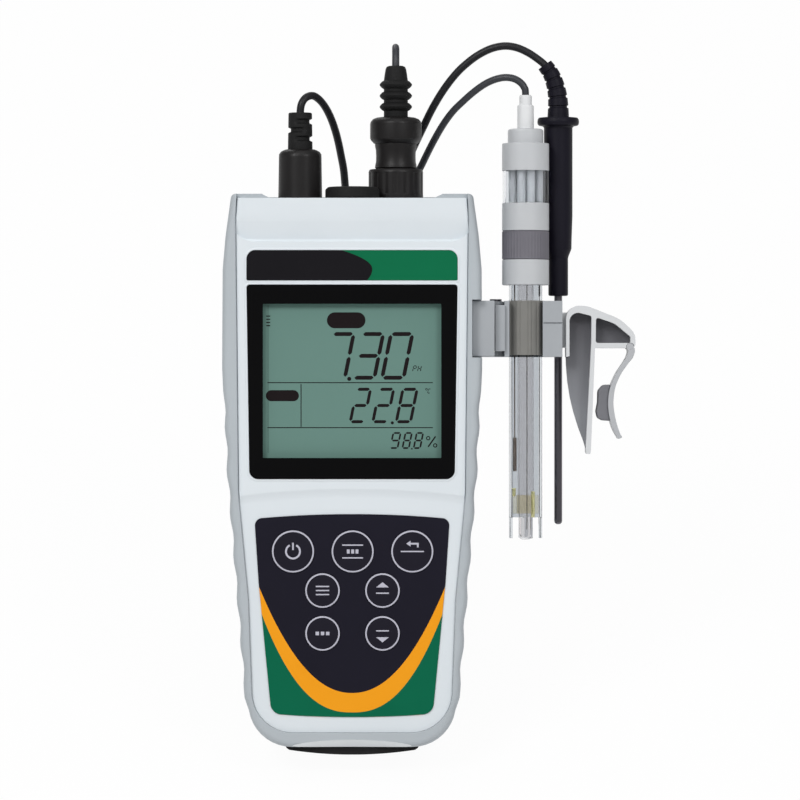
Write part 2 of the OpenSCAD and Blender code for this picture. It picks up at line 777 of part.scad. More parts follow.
// The stand, drawn opened out. Its toe is cut flat by the floor.
module stand() color("black") difference() {
    lean()
        translate(stand_hinge)
            rotate([stand_open, 0, 0])
                difference() {
                    union() {
                        rotate([0, 90, 0])
                            cylinder(h = stand_w, r = stand_barrel_r, center = true);
                        translate([0, stand_t / 2, 0])
                            rotate([90, 0, 0])
                                linear_extrude(stand_t)
                                    polygon([
                                        [-stand_w / 2, 0], [-stand_w / 2, -40],
                                        [-stand_w / 2 + 3, -stand_len - 8],
                                        [stand_w / 2 - 3, -stand_len - 8],
                                        [stand_w / 2, -40], [stand_w / 2, 0]
                                    ]);
                        translate([0, 0, -stand_len])
                            rotate([0, 90, 0])
                                cylinder(h = stand_w - 6.4, r = stand_barrel_r, center = true);
                    }
                    rotate([0, 90, 0])
                        cylinder(h = stand_w + 1, r = stand_pin_r + 0.05, center = true);
                    translate([-stand_w / 2 + 8, stand_t / 2 - 1, -stand_len + 12])
                        cube([stand_w - 16, 3, stand_len - 26]);
                }
    translate([-60, 0, -60])
        cube([120, 200, 60]);
}

// ---- side holder -----------------------------------------------------------

// Tongue that plugs the holder's bracket into the case.
module tongue(grow) {
    block([case_half_w - 2.8 - grow, side_x - 3], [19.5 - grow, 26.5 + grow],
        [holder_u - 6.5 - grow, holder_u + 6.5 + grow]);
}

module holder_bracket() color("darkgray") lean() difference() {
    union() {
        block([side_x - 3.4, hinge_axis[0] - 3.6], [5, 27], [holder_low_u, holder_top_u]);
        block([hinge_axis[0] - 3.7, hinge_axis[0] - 0.7], [5, hinge_axis[1] - 3.6],
            [holder_low_u, holder_top_u]);
        tongue(0);
        for (u = [holder_low_u, holder_top_u - knuckle_h]) {
            bar(hinge_axis, u, u + knuckle_h, knuckle_r);
            block([hinge_axis[0] - 3.7, hinge_axis[0]],
                [hinge_axis[1] - knuckle_r, hinge_axis[1] + knuckle_r], [u, u + knuckle_h]);
        }
    }
    bar(hinge_axis, holder_low_u - 1, holder_top_u + 1, hinge_pin_r);
}

module hinge_pin() color("silver") lean() {
    bar(hinge_axis, holder_low_u, holder_top_u, hinge_pin_r);
    bar(hinge_axis, holder_top_u, holder_top_u + 0.8, hinge_pin_r + 0.9);
}

// Swinging frame: knuckle, neck, and the open jaws round both probes.
module holder_frame() color("darkgray") lean() difference() {
    union() {
        bar(hinge_axis, holder_low_u + knuckle_h + knuckle_gap,
            holder_top_u - knuckle_h - knuckle_gap, knuckle_r);
        block([hinge_axis[0], frame_left_x + 0.5],
            [hinge_axis[1] - 3, hinge_axis[1] + knuckle_r],
            [holder_low_u + knuckle_h + knuckle_gap, holder_top_u - knuckle_h - knuckle_gap]);
        block([hinge_axis[0] - 0.4, frame_left_x + 0.1], [8, hinge_axis[1] - 3.6],
            [holder_low_u + 2, holder_top_u - 1.5]);
        block([frame_left_x, frame_right_x], [9.5, 27.4], [holder_low_u, holder_top_u]);
    }
    bar(hinge_axis, holder_low_u - 1, holder_top_u + 1, hinge_pin_r + 0.05);
    for (u = [holder_low_u - 1, holder_top_u - knuckle_h - knuckle_gap])
        bar(hinge_axis, u, u + knuckle_h + 1 + knuckle_gap, knuckle_r + turn_gap);
    bar(electrode_axis, holder_low_u - 1, holder_top_u + 1, electrode_r + slide_gap + grip_t);
    block([electrode_axis[0] - electrode_r, electrode_axis[0] + electrode_r],
        [0, electrode_axis[1] - 2], [holder_low_u - 1, holder_top_u + 1]);
    bar(probe_axis, holder_low_u - 1, holder_top_u + 1, rod_r + slide_gap);
    block([probe_axis[0], frame_right_x + 3], [probe_axis[1] - 1, probe_axis[1] + 1],
        [holder_low_u - 1, holder_top_u + 1]);
    block([electrode_axis[0] + electrode_r + 0.3, frame_right_x + 1], [9, 10.1],
        [holder_u + 1.7, holder_u + 2.2]);
    clip_rail(0.05);
}

// Soft sleeve that grips the electrode's tube.
module electrode_grip() color([0.45, 0.44, 0.41]) lean() difference() {
    bar(electrode_axis, holder_low_u + 0.6, holder_top_u + 0.2, electrode_r + slide_gap + grip_t);
    bar(electrode_axis, holder_low_u - 1, holder_top_u + 1, electrode_r + slide_gap);
}

// Rail that slides the beaker clip into the holder's frame.
module clip_rail(grow) {
    block([frame_right_x - 1.6 - grow, clip_x + 0.4], [14 - grow, 18 + grow],
        [holder_u - 6.5 - grow, holder_u + 5.7 + grow]);
}

module clip_outline() {
    polygon(rounded([
        [0, 9.6, 4], [24.5, -0.9, 1.6], [24.3, -5.6, 0], [21.9, -5.6, 0],
        [21.6, -6.6, 0], [10.4, -6.6, 0.4], [8.9, -43.5, 0.7],
        [7.3, -43.5, 0.7], [7, -37, 6], [0.3, -13, 6]
    ]));
}

// The two hollows in each face of the clip, on either side of its web.
module clip_hollows() {
    polygon(rounded([
        [1.5, 7.6, 3], [9, 4.6, 0.8], [8.9, -5, 0], [7.3, -39, 0], [7, -50, 0],
        [-3, -50, 0], [-3, -10.5, 0], [1.5, -9.5, 0]
    ]));
    polygon(rounded([
        [10.4, 4.1, 0.8], [22.6, -1.2, 0.8], [22.6, -4.7, 0.8], [10.4, -4.7, 0.8]
    ]));
}

// Beaker clip, seen from the front: hook over the top, straight inner leg, and
// a web between them that is set back from both faces.
module beaker_clip() color("lightgray") lean() {
    clip_rail(0);
    difference() {
        slab(clip_front_v, clip_front_v + clip_depth)
            translate([clip_x, holder_u])
                clip_outline();
        slab(clip_front_v - 1, clip_web_v[0])
            translate([clip_x, holder_u])
                clip_hollows();
        slab(clip_web_v[1], clip_front_v + clip_depth + 1)
            translate([clip_x, holder_u])
                clip_hollows();
        stud(clip_pivot[0], clip_pivot[1], clip_front_v - 1, clip_front_v + clip_depth + 1,
            clip_root_r + 0.05);
    }
}

module arm_outline() {
    translate([clip_x, holder_u])
        polygon(rounded([
            [23.1, -6.9, 0], [20.4, -12, 4], [17, -26.5, 5], [20, -37.9, 0.4],
            [18.1, -37.5, 0.4], [15.2, -26.3, 5], [18.9, -12.2, 4], [21.5, -7.5, 0]
        ]));
}

// Springy arm of the clip, which bends open at its root.
module clip_arm() color("lightgray") lean() {
    slab(clip_front_v, clip_front_v + clip_depth)
        arm_outline();
    stud(clip_pivot[0], clip_pivot[1], clip_front_v, clip_front_v + clip_depth, clip_root_r);
}

module clip_pad() color("dimgray") lean()
    slab(clip_front_v + 1, clip_front_v + clip_depth - 1)
        difference() {
            translate([clip_x, holder_u])
                polygon(rounded([
                    [11, -19.5, 0.8], [17.8, -19.5, 0], [16.2, -26.3, 0], [16.9, -31.7, 0],
                    [11, -31.7, 0.8]
                ]));
            arm_outline();
        }

// ---- electrode -------------------------------------------------------------

module electrode_turned() {
    translate([electrode_axis[0], electrode_axis[1], 0])
        rotate_extrude()
            children();
}

module electrode_neck() color("white") lean() electrode_turned()
    polygon([
        [0, cap_top_u - 3], [neck_r, cap_top_u - 3], [neck_r, cap_top_u + 8.2],
        [2.2, cap_top_u + 8.7], [2.2, neck_top_u], [0, neck_top_u]
    ]);

module electrode_cap() color("white") lean() electrode_turned()
    polygon([
        [neck_r + 0.1, cap_top_u], [head_r - 2, cap_top_u], [head_r - 2, head_top_u + 0.3],
        [head_r - 0.5, head_top_u], [head_r, head_top_u - 0.6], [head_r, view_top_u],
        [head_r - head_wall, view_top_u], [head_r - head_wall, head_top_u - 1.6],
        [neck_r + 0.1, head_top_u - 1.6]
    ]);

module electrode_window() color([0.85, 0.88, 0.9, 0.4]) lean() electrode_turned()
    polygon([
        [head_r - head_wall, view_low_u], [head_r, view_low_u], [head_r, view_top_u],
        [head_r - head_wall, view_top_u]
    ]);

// White body of the head, with a reduced neck for the turning ring.
module electrode_head() color("white") lean() electrode_turned()
    polygon([
        [electrode_r - tube_wall - 0.1, head_base_u - 6],
        [electrode_r - tube_wall - 0.1, head_base_u],
        [head_r - 1.8, head_base_u], [head_r, head_base_u + 1.8],
        [head_r, ring_low_u - 0.1], [ring_neck_r, ring_low_u - 0.1],
        [ring_neck_r, ring_top_u + 0.1], [head_r, ring_top_u + 0.1],
        [head_r, view_low_u], [head_r - head_wall, view_low_u],
        [head_r - 3.4, view_low_u - 2], [stem_r + 0.3, ring_low_u],
        [stem_r + 0.3, head_base_u - 6]
    ]);

module refill_ring() color("gray") lean() difference() {
    electrode_turned()
        polygon([
            [ring_neck_r + 0.05, ring_low_u], [head_r, ring_low_u],
            [head_r, ring_top_u], [ring_neck_r + 0.05, ring_top_u]
        ]);
    for (a = [0 : 12 : 359])
        translate([electrode_axis[0], electrode_axis[1], ring_low_u + 1])
            rotate([0, 0, a])
                translate([head_r + 0.35, 0, 0])
                    cylinder(h = ring_top_u - ring_low_u - 2, r = 0.6, $fn = 14);
}

// Clear tube whose end is cut into four guard prongs.
module electrode_tube() color([0.8, 0.85, 0.88, 0.35]) lean() difference() {
    bar(electrode_axis, electrode_tip_u, head_base_u, electrode_r);
    bar(electrode_axis, electrode_tip_u - 1, head_base_u + 1, electrode_r - tube_wall);
    for (a = [45, 135])
        translate([electrode_axis[0], electrode_axis[1], electrode_tip_u - 1])
            rotate([0, 0, a + 6])
                translate([-10, -prong_gap / 2, 0])
                    cube([20, prong_gap, 8.3]);
}

// Inner glass stem ending in the sensing bulb, with its seal in the tube.
module electrode_core() color([0.9, 0.88, 0.7, 0.6]) lean() electrode_turned()
    polygon([
        [0, electrode_tip_u + 1.8], [bulb_r * 0.65, electrode_tip_u + 2.3],
        [bulb_r - 0.1, electrode_tip_u + 4.4], [bulb_r, electrode_tip_u + 5.8],
        [bulb_r * 0.8, electrode_tip_u + 8],
        [electrode_r - tube_wall - 0.05, electrode_tip_u + 8.6],
        [electrode_r - tube_wall - 0.05, electrode_tip_u + 15.3],
        [stem_r, electrode_tip_u + 15.3], [stem_r, head_base_u + 4], [0, head_base_u + 4]
    ]);

module reference_element() color("saddlebrown") lean()
    bar([electrode_axis[0] - stem_r - element_r - 0.15, electrode_axis[1]],
        electrode_tip_u + 16, head_base_u - 6.2, element_r);

// ---- temperature probe -----------------------------------------------------

module probe_handle() color([0.09, 0.09, 0.12]) lean() difference() {
    translate([probe_axis[0], probe_axis[1], 0])
        rotate_extrude()
            polygon([
                [0, sleeve_low_u], [2.9, sleeve_low_u], [3.45, sleeve_low_u + 0.7],
                [3.45, sleeve_low_u + 13.4], [4.65, sleeve_low_u + 16.5],
                [4.65, sleeve_low_u + 27.8], [5, sleeve_low_u + 28.2],
                [5, handle_top_u - 2.8], [7.3, handle_top_u - 2.6],
                [7.3, handle_top_u - 0.5], [6.8, handle_top_u], [0, handle_top_u]
            ]);
    bar(probe_axis, sleeve_low_u - 1, rod_top_u, rod_r);
}

module probe_rod() color("silver") lean() {
    bar(probe_axis, rod_tip_u + rod_r, rod_top_u, rod_r);
    translate([probe_axis[0], probe_axis[1], rod_tip_u + rod_r])
        sphere(r = rod_r, $fn = 24);
}

// Bent rubber relief on top of the probe's handle.
module probe_relief() color([0.1, 0.1, 0.12]) lean()
    swept(relief_route, [3.8, 3.7, 3.5, 3.2, 2.9, 2.7], 16);

// ---- leads -----------------------------------------------------------------

module electrode_lead() color([0.08, 0.08, 0.09]) {
    lead(electrode_exit, electrode_lead_down, electrode_lead_d);
    lead(signal_exit, signal_lead_down, electrode_lead_d);
}

module temperature_lead() color([0.08, 0.08, 0.09]) {
    relief_end = relief_route[5];
    leaving = unit(relief_end - relief_route[4]);
    probe_route = concat([placed(relief_end), placed(relief_end + 0.8 * leaving)], probe_lead_down);
    swept(probe_route, [for (q = probe_route) probe_lead_d / 2]);
    lead(temperature_exit, temperature_lead_down, probe_lead_d);
}

module electrode_coil() color([0.08, 0.08, 0.09])
    coil(electrode_coil_x, electrode_lead_d);

module temperature_coil() color([0.08, 0.08, 0.09])
    coil(probe_coil_x, probe_lead_d);

front_shell();
rear_shell();
shell_gasket();
connector_panel();
boot();
foot();
label();
lcd_lens();
lcd_cell();
lcd_frame();
keypad_overlay();
dome_sheet();
main_board();
battery_tray();
batteries();
battery_contacts();
battery_door();
shell_screws();
input_socket();
temperature_socket();
data_socket();
stand_bracket();
stand_pin();
holder_bracket();
hinge_pin();
temperature_plug();
temperature_plug_relief();
signal_plug();
signal_backshell();
signal_relief();
electrode_lead();
electrode_coil();
temperature_lead();
temperature_coil();
power_key();
calibrate_key();
enter_key();
setup_key();
up_key();
mode_key();
down_key();
stand();
signal_collar();
dust_cap();
holder_frame();
electrode_grip();
beaker_clip();
clip_arm();
clip_pad();
electrode_neck();
electrode_cap();
electrode_window();
electrode_head();
refill_ring();
electrode_tube();
electrode_core();
reference_element();
probe_handle();
probe_relief();
probe_rod();
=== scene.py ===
"""A hand-held pH meter in its rubber boot, leaning on its flip stand, with the side
holder that carries a glass-bulb electrode and a temperature probe.

Shapes are drawn in the meter's own directions and in millimetres: x to the right, v from
the face towards the back, u up along the face. METER turns them into the frame's metres.
"""

import json
import math

import bmesh
import bpy
import numpy as np
from mathutils import Matrix, Vector

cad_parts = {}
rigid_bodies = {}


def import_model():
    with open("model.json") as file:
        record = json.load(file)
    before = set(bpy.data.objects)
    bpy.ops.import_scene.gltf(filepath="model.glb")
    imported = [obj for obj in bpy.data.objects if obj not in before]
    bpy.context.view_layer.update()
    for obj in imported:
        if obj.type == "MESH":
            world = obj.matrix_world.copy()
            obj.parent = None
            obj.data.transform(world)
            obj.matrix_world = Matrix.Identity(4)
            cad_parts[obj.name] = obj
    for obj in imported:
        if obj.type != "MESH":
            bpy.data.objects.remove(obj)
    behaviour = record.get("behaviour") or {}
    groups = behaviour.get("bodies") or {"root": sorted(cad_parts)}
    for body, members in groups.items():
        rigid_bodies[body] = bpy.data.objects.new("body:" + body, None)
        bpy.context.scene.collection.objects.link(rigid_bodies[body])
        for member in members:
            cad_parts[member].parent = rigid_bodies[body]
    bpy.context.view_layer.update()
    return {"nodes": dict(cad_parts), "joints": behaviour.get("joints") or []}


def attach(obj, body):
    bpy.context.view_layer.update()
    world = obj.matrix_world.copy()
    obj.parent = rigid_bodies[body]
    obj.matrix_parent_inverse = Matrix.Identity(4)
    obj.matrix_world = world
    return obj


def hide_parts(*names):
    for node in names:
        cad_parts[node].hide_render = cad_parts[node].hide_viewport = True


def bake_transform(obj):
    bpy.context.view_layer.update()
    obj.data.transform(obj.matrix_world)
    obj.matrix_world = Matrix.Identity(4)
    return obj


for thing in list(bpy.data.objects):
    bpy.data.objects.remove(thing)
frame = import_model()

# ---- the meter's directions and sizes ---------------------------------------

MM = 0.001
RIGHT = Vector((1, 0, 0))
UP = Vector(next(j["axis"] for j in frame["joints"] if j["name"] == "holder_swing"))
DEEP = UP.cross(RIGHT)
SOLE_V = 30
SOLE_U = 4 * UP.y / UP.z
METER = Matrix.Translation(-MM * (SOLE_V * DEEP + SOLE_U * UP)) @ (
    Matrix((RIGHT * MM, DEEP * MM, UP * MM)).transposed().to_4x4()
)


def span(node):
    """Lowest and highest corner of a CAD node in the meter's own directions."""
    back = METER.inverted()
    points = np.array([back @ v.co for v in frame["nodes"][node].data.vertices])
    return Vector(points.min(0)), Vector(points.max(0))


def middle(node):
    """The [x, v] of the upright axis of a turned CAD node."""
    low, high = span(node)
    return ((low.x + high.x) / 2, (low.y + high.y) / 2)


CASE_LOW, CASE_HIGH = span("front_shell")
BOOT_LOW, BOOT_HIGH = span("boot")
CASE_W = CASE_HIGH.x
CASE_TOP = CASE_HIGH.z
FACE_V = CASE_LOW.y
KEY_FACE_V = FACE_V + 1
PLATE_T = 2.2
GAP = 0.15
SNUG = 0.04

# ---- meshes -----------------------------------------------------------------


def rounded(points, steps=6):
    """An outline of corners, each (x, y, radius), with the corners turned into arcs."""
    outline = []
    for k, (x, y, r) in enumerate(points):
        at = Vector((x, y))
        if r <= 0:
            outline.append(tuple(at))
            continue
        back = (Vector(points[k - 1][:2]) - at).normalized()
        ahead = (Vector(points[(k + 1) % len(points)][:2]) - at).normalized()
        half = back.angle(ahead) / 2
        centre = at + (back + ahead).normalized() * r / math.sin(half)
        start = at + back * r / math.tan(half) - centre
        end = at + ahead * r / math.tan(half) - centre
        for s in range(steps + 1):
            outline.append(tuple(centre + start.lerp(end, s / steps).normalized() * r))
    return outline


def mirrored(right):
    """A right-hand half outline and its mirror image."""
    return right + [(-p[0], *p[1:]) for p in reversed(right)]


def loft(rings, closed=False, coat=0):
    """Rings of equally many points joined into a skin, capped unless it closes on itself."""
    count = len(rings[0])
    faces = []
    for r in range(len(rings) if closed else len(rings) - 1):
        a = r * count
        b = (r + 1) % len(rings) * count
        faces += [(a + k, a + (k + 1) % count, b + (k + 1) % count, b + k) for k in range(count)]
    if not closed:
        faces.append(tuple(range(count)))
        faces.append(tuple(range(len(rings) * count - 1, (len(rings) - 1) * count - 1, -1)))
    return [p for ring in rings for p in ring], faces, coat


def layered(layers, coat=0):
    """A plate lofted through (v, outline) layers, each outline as seen from the front."""
    return loft([[(x, v, u) for x, u in outline] for v, outline in layers], coat=coat)


def plate(outline, front, back, coat=0):
    """A flat plate with one outline, from v = front to v = back."""
    return layered([(front, outline), (back, outline)], coat)


def circle(r, steps, at=(0, 0)):
    """A round outline."""
    turn = [2 * math.pi * k / steps for k in range(steps)]
    return [(at[0] + r * math.cos(t), at[1] + r * math.sin(t)) for t in turn]


def turned(axis, profile, steps=48, shape=None, closed=False, coat=0):
    """A profile of (radius, u) turned about an upright axis; shape(angle, u) scales the radius."""
    rings = []
    for r, u in profile:
        ring = []
        for k in range(steps):
            angle = 2 * math.pi * k / steps
            reach = max(r, 0.01) * (shape(angle, u) if shape else 1)
            ring.append((axis[0] + reach * math.cos(angle), axis[1] + reach * math.sin(angle), u))
        rings.append(ring)
    return loft(rings, closed, coat)


def raised(base, profile):
    """A profile whose heights are given above a base."""
    return [(r, base + u) for r, u in profile]


def bar(x0, x1, u0, u1):
    """A plain upright oblong, as an outline."""
    return [(x0, u0), (x1, u0), (x1, u1), (x0, u1)]


def button(at, profile, steps=48, coat=0, closed=False):
    """A profile of (radius, v) turned about an axis that runs into the face at (x, u)."""
    rings = [[(x, v, u) for x, u in circle(max(r, 0.01), steps, at)] for r, v in profile]
    return loft(rings, closed, coat)


def smooth_path(points, steps=6):
    """A curve through every point, in short straight pieces."""
    points = [Vector(p) for p in points]
    ends = [2 * points[0] - points[1], *points, 2 * points[-1] - points[-2]]
    path = []
    for a, b, c, d in zip(ends, ends[1:], ends[2:], ends[3:]):
        for s in range(steps):
            t = s / steps
            path.append(
                0.5 * (2 * b + (c - a) * t + (2 * a - 5 * b + 4 * c - d) * t * t
                       + (3 * b - a - 3 * c + d) * t ** 3)
            )
    return path + [points[-1]]


def swept(path, radii, steps):
    """A round tube along a path, with one radius for each point."""
    path = [Vector(p) for p in path]
    aheads = [
        (path[min(k + 1, len(path) - 1)] - path[max(k - 1, 0)]).normalized()
        for k in range(len(path))
    ]
    side = aheads[0].orthogonal().normalized()
    rings = []
    for point, ahead, r in zip(path, aheads, radii):
        side = (side - ahead * side.dot(ahead)).normalized()
        across = ahead.cross(side)
        turn = [2 * math.pi * k / steps for k in range(steps)]
        rings.append([tuple(point + r * (math.cos(t) * side + math.sin(t) * across)) for t in turn])
    return loft(rings)


# The most finishes that one piece has.
COAT_PLACES = 3


def form(name, *parts):
    """A mesh object in the meter's own millimetres."""
    shape = bmesh.new()
    for points, faces, coat in parts:
        corners = [shape.verts.new(p) for p in points]
        for face in faces:
            shape.faces.new([corners[k] for k in face]).material_index = coat
    bmesh.ops.recalc_face_normals(shape, faces=shape.faces)
    mesh = bpy.data.meshes.new(name)
    for _ in range(COAT_PLACES):
        mesh.materials.append(None)
    shape.to_mesh(mesh)
    shape.free()
    piece = bpy.data.objects.new(name, mesh)
    bpy.context.scene.collection.objects.link(piece)
    return piece


def settle(piece):
    """Makes what the piece's modifiers give its own mesh."""
    seen = piece.evaluated_get(bpy.context.evaluated_depsgraph_get())
    piece.data = bpy.data.meshes.new_from_object(seen)
    piece.modifiers.clear()


def cut(piece, *parts, operation="DIFFERENCE"):
    """Cuts each part out of the piece, or keeps only what lies in it."""
    for part in parts:
        carve(piece, form("tool", part), operation)


def carve(piece, tool, operation="DIFFERENCE"):
    """Takes one tool out of the piece, and the tool away."""
    knife = piece.modifiers.new("knife", "BOOLEAN")
    knife.object = tool
    knife.operation = operation
    knife.solver = "EXACT"
    settle(piece)
    bpy.data.objects.remove(tool)


def soften(piece, width, segments=2, angle=32):
    """Rounds the piece's sharp edges."""
    bevel = piece.modifiers.new("soft edge", "BEVEL")
    bevel.width = width
    bevel.segments = segments
    bevel.limit_method = "ANGLE"
    bevel.angle_limit = math.radians(angle)
    settle(piece)


def fit(piece, body, coats, slot, *stands_for, sharp=34):
    """Puts a finished piece on its body, in place of the CAD nodes that it stands for.
    A piece without a body is left unattached."""
    piece.data.transform(METER)
    for place, coat in enumerate(coats):
        piece.data.materials[place] = coat
    while len(piece.data.materials) > len(coats):
        piece.data.materials.pop()
    piece.data.shade_smooth()
    piece.data.set_sharp_from_angle(angle=math.radians(sharp))
    piece.modifiers.new("even shading", "WEIGHTED_NORMAL").keep_sharp = True
    if body:
        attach(piece, body)
    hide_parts(*stands_for)
    return piece


# ---- finishes ---------------------------------------------------------------


def linear(code):
    """The linear colour of an sRGB hex code."""
    parts = [int(code[k : k + 2], 16) / 255 for k in (1, 3, 5)]
    return (*[c / 12.92 if c <= 0.04045 else ((c + 0.055) / 1.055) ** 2.4 for c in parts], 1)


def add(tree, kind, inputs=None, **settings):
    """Adds one node with its own settings, and sets or links its inputs."""
    node = tree.nodes.new(kind)
    for name, value in settings.items():
        setattr(node, name, value)
    for name, value in (inputs or {}).items():
        if isinstance(value, bpy.types.NodeSocket):
            tree.links.new(value, node.inputs[name])
        else:
            node.inputs[name].default_value = value
    return node


def empty_finish(name):
    """A new material, its node tree and the coordinates that stay with the piece."""
    material = bpy.data.materials.new(name)
    material.use_nodes = True
    tree = material.node_tree
    tree.nodes.clear()
    return material, tree, add(tree, "ShaderNodeTexCoord").outputs["Object"]


def surface(tree, inputs):
    """Ends a finish in one shader."""
    shader = add(tree, "ShaderNodeBsdfPrincipled", inputs)
    add(tree, "ShaderNodeOutputMaterial", {"Surface": shader.outputs["BSDF"]})


def moulded(name, light, dark, roughness, grain, relief, cloud=25, ior=1.5, shine=0.5):
    """A moulded surface. Grain is the size of its texture and relief its depth, in mm.
    Its colour drifts from light to dark over cloud mm, as handled mouldings do."""
    sockets = {"IOR": ior, "Specular IOR Level": shine}
    material, tree, place = empty_finish(name)
    drift = add(tree, "ShaderNodeTexNoise", {"Vector": place, "Scale": 1 / (cloud * MM), "Detail": 3.0})
    spark = add(tree, "ShaderNodeTexNoise", {"Vector": place, "Scale": 1 / (grain * MM), "Detail": 2.0})
    colour = add(tree, "ShaderNodeMixRGB",
                 {"Fac": drift.outputs["Fac"], "Color1": linear(light), "Color2": linear(dark)})
    gloss = add(tree, "ShaderNodeMapRange",
                {"Value": spark.outputs["Fac"], "From Min": 0.3, "From Max": 0.7,
                 "To Min": roughness - 0.05, "To Max": roughness + 0.05})
    if relief:
        bump = add(tree, "ShaderNodeBump", {"Height": spark.outputs["Fac"], "Distance": relief * MM})
        sockets["Normal"] = bump.outputs["Normal"]
    surface(tree, {"Base Color": colour.outputs["Color"], "Roughness": gloss.outputs["Result"], **sockets})
    return material


def clear(name, tint, roughness, ior, ripple):
    """A clear wall whose surface ripples a little, with ripples that many mm apart."""
    material, tree, place = empty_finish(name)
    wave = add(tree, "ShaderNodeTexNoise", {"Vector": place, "Scale": 1 / (ripple * MM), "Detail": 1.0})
    bump = add(tree, "ShaderNodeBump",
               {"Height": wave.outputs["Fac"], "Strength": 0.5, "Distance": 0.02 * MM})
    surface(tree, {"Base Color": linear(tint), "Roughness": roughness, "IOR": ior,
                   "Transmission Weight": 1.0, "Normal": bump.outputs["Normal"]})
    return material


def drawn_metal(name, light, dark, roughness, line, length):
    """Metal with fine drawing lines along the rod: line mm apart and length mm long."""
    material, tree, place = empty_finish(name)
    along = add(tree, "ShaderNodeMapping",
                {"Vector": place, "Scale": (1 / (line * MM), 1 / (line * MM), 1 / (length * MM))})
    lines = add(tree, "ShaderNodeTexNoise", {"Vector": along.outputs["Vector"], "Scale": 1.0, "Detail": 2.0})
    colour = add(tree, "ShaderNodeMixRGB",
                 {"Fac": lines.outputs["Fac"], "Color1": linear(light), "Color2": linear(dark)})
    gloss = add(tree, "ShaderNodeMapRange",
                {"Value": lines.outputs["Fac"], "To Min": roughness - 0.08, "To Max": roughness + 0.12})
    surface(tree, {"Base Color": colour.outputs["Color"], "Roughness": gloss.outputs["Result"],
                   "Metallic": 1.0})
    return material


# ABS, moulded with a fine spark texture: a soft white that is never quite shiny.
SHELL = moulded("white ABS shell", "#E4EAEE", "#DCE3E8", 0.42, 0.5, 0.012, 40, ior=1.52)

# Thermoplastic rubber, moulded: a bluish grey with a broad dull sheen.
BOOT = moulded("grey rubber boot", "#B8BFC4", "#AFB6BB", 0.62, 0.7, 0.03, 30, ior=1.5)

# Thermoplastic rubber again, moulded: the boot's cut-away underside, drawn much paler than its sides with
# painted light from the white floor below.
BOOT_UNDER_PAINTED_LIGHT = moulded("rubber underside with painted floor light", "#F4F8FA", "#ECF1F4", 0.6, 0.7, 0.03, 30, ior=1.5)

# Black rubber, moulded: nearly no gloss, greyer where it is rubbed.
BLACK_RUBBER = moulded("black rubber", "#161616", "#0F0F10", 0.7, 0.6, 0.03, 12, ior=1.5, shine=0.3)

# Nylon, moulded and slightly glossy: black with soft vertical highlights.
BLACK = moulded("black nylon", "#1B1919", "#141213", 0.42, 0.6, 0.012, 10, ior=1.53, shine=0.28)

# Nylon again, for the probe's handle: a navy black, smoother than the plugs.
HANDLE = moulded("navy nylon handle", "#171521", "#12111B", 0.5, 0.5, 0.01, 14, ior=1.53, shine=0.14)

# ABS, moulded: the mid grey of the side holder.
GREY = moulded("grey ABS", "#ABAFB3", "#A1A5AA", 0.46, 0.5, 0.012, 14, ior=1.52)

# Acetal, moulded: the pale, waxy grey of the beaker clip.
PALE_GREY = moulded("pale grey acetal", "#D6D8DA", "#CCCFD2", 0.4, 0.5, 0.01, 12, ior=1.48)

# Acetal again, moulded: the greyer shade of the clip's springy arm.
ARM = moulded("grey acetal arm", "#BCBEC1", "#B2B4B8", 0.42, 0.5, 0.01, 12, ior=1.48)

# Soft rubber, moulded: a cool dark grey.
DARK_RUBBER = moulded("dark grey rubber", "#7A7A80", "#6C6D72", 0.66, 0.5, 0.03, 8, ior=1.5)

# Soft rubber again, in the warmer shade of the holder's sleeve.
GRIP = moulded("warm grey rubber sleeve", "#858480", "#787773", 0.6, 0.5, 0.02, 6, ior=1.5)

# ABS, moulded and polished: the clean white of the electrode's cable neck.
WHITE = moulded("white ABS neck", "#E8E9EA", "#DFE1E3", 0.36, 0.5, 0.008, 12, ior=1.52)

# The same plastic in the pale grey of the electrode's head.
HEAD = moulded("pale grey ABS head", "#C8CACD", "#BFC2C5", 0.4, 0.5, 0.008, 12, ior=1.52)

# Rubberised nylon of the refill ring: a flat mid grey.
RING = moulded("grey nylon ring", "#74727A", "#69676F", 0.55, 0.4, 0.015, 6, ior=1.53)

# Acrylic with black printed behind it: deep black under a hard gloss.
LENS = moulded("black printed acrylic", "#0A0A0B", "#080809", 0.2, 1.2, 0, 30, ior=1.49, shine=0.1)

# Printed polyester film with a fine pebble: one ink for each colour.
INKS = {
    name: moulded(name + " ink on polyester", light, dark, 0.45, 0.6, 0.012, 20, ior=1.57, shine=0.1)
    for name, light, dark in [
        ("night", "#1D1B28", "#181722"),
        ("orange", "#F7A31E", "#F29C16"),
        ("green", "#026A4A", "#006044"),
        ("black", "#17151A", "#111014"),
        ("leaf", "#057049", "#016641"),
    ]
}

# Printed pad ink on the key caps: a pale lavender grey.
LEGEND = moulded("pale legend ink", "#C3C2CF", "#B7B6C4", 0.45, 0.4, 0.004, 5, ior=1.5)

# Key caps, moulded in silicone rubber: the same night colour as the film.
KEYCAP = moulded("silicone key cap", "#1E1C28", "#191722", 0.45, 0.5, 0.01, 6, ior=1.43, shine=0.2)

# Liquid crystal glass: a flat grey green with a faint drift, behind a polished face.
LCD = moulded("liquid crystal glass", "#698B82", "#64867D", 0.4, 1.0, 0, 45, ior=1.5, shine=0.25)

# The dark state of the liquid crystal: soft black strokes.
STROKE = moulded("dark liquid crystal", "#1A1114", "#140D0F", 0.45, 0.8, 0, 9, ior=1.5, shine=0.15)

# Solder mask on glass cloth: a dark, glossy green.
BOARD = moulded("green solder mask", "#0B5A2C", "#084923", 0.32, 0.7, 0.01, 8, ior=1.55)

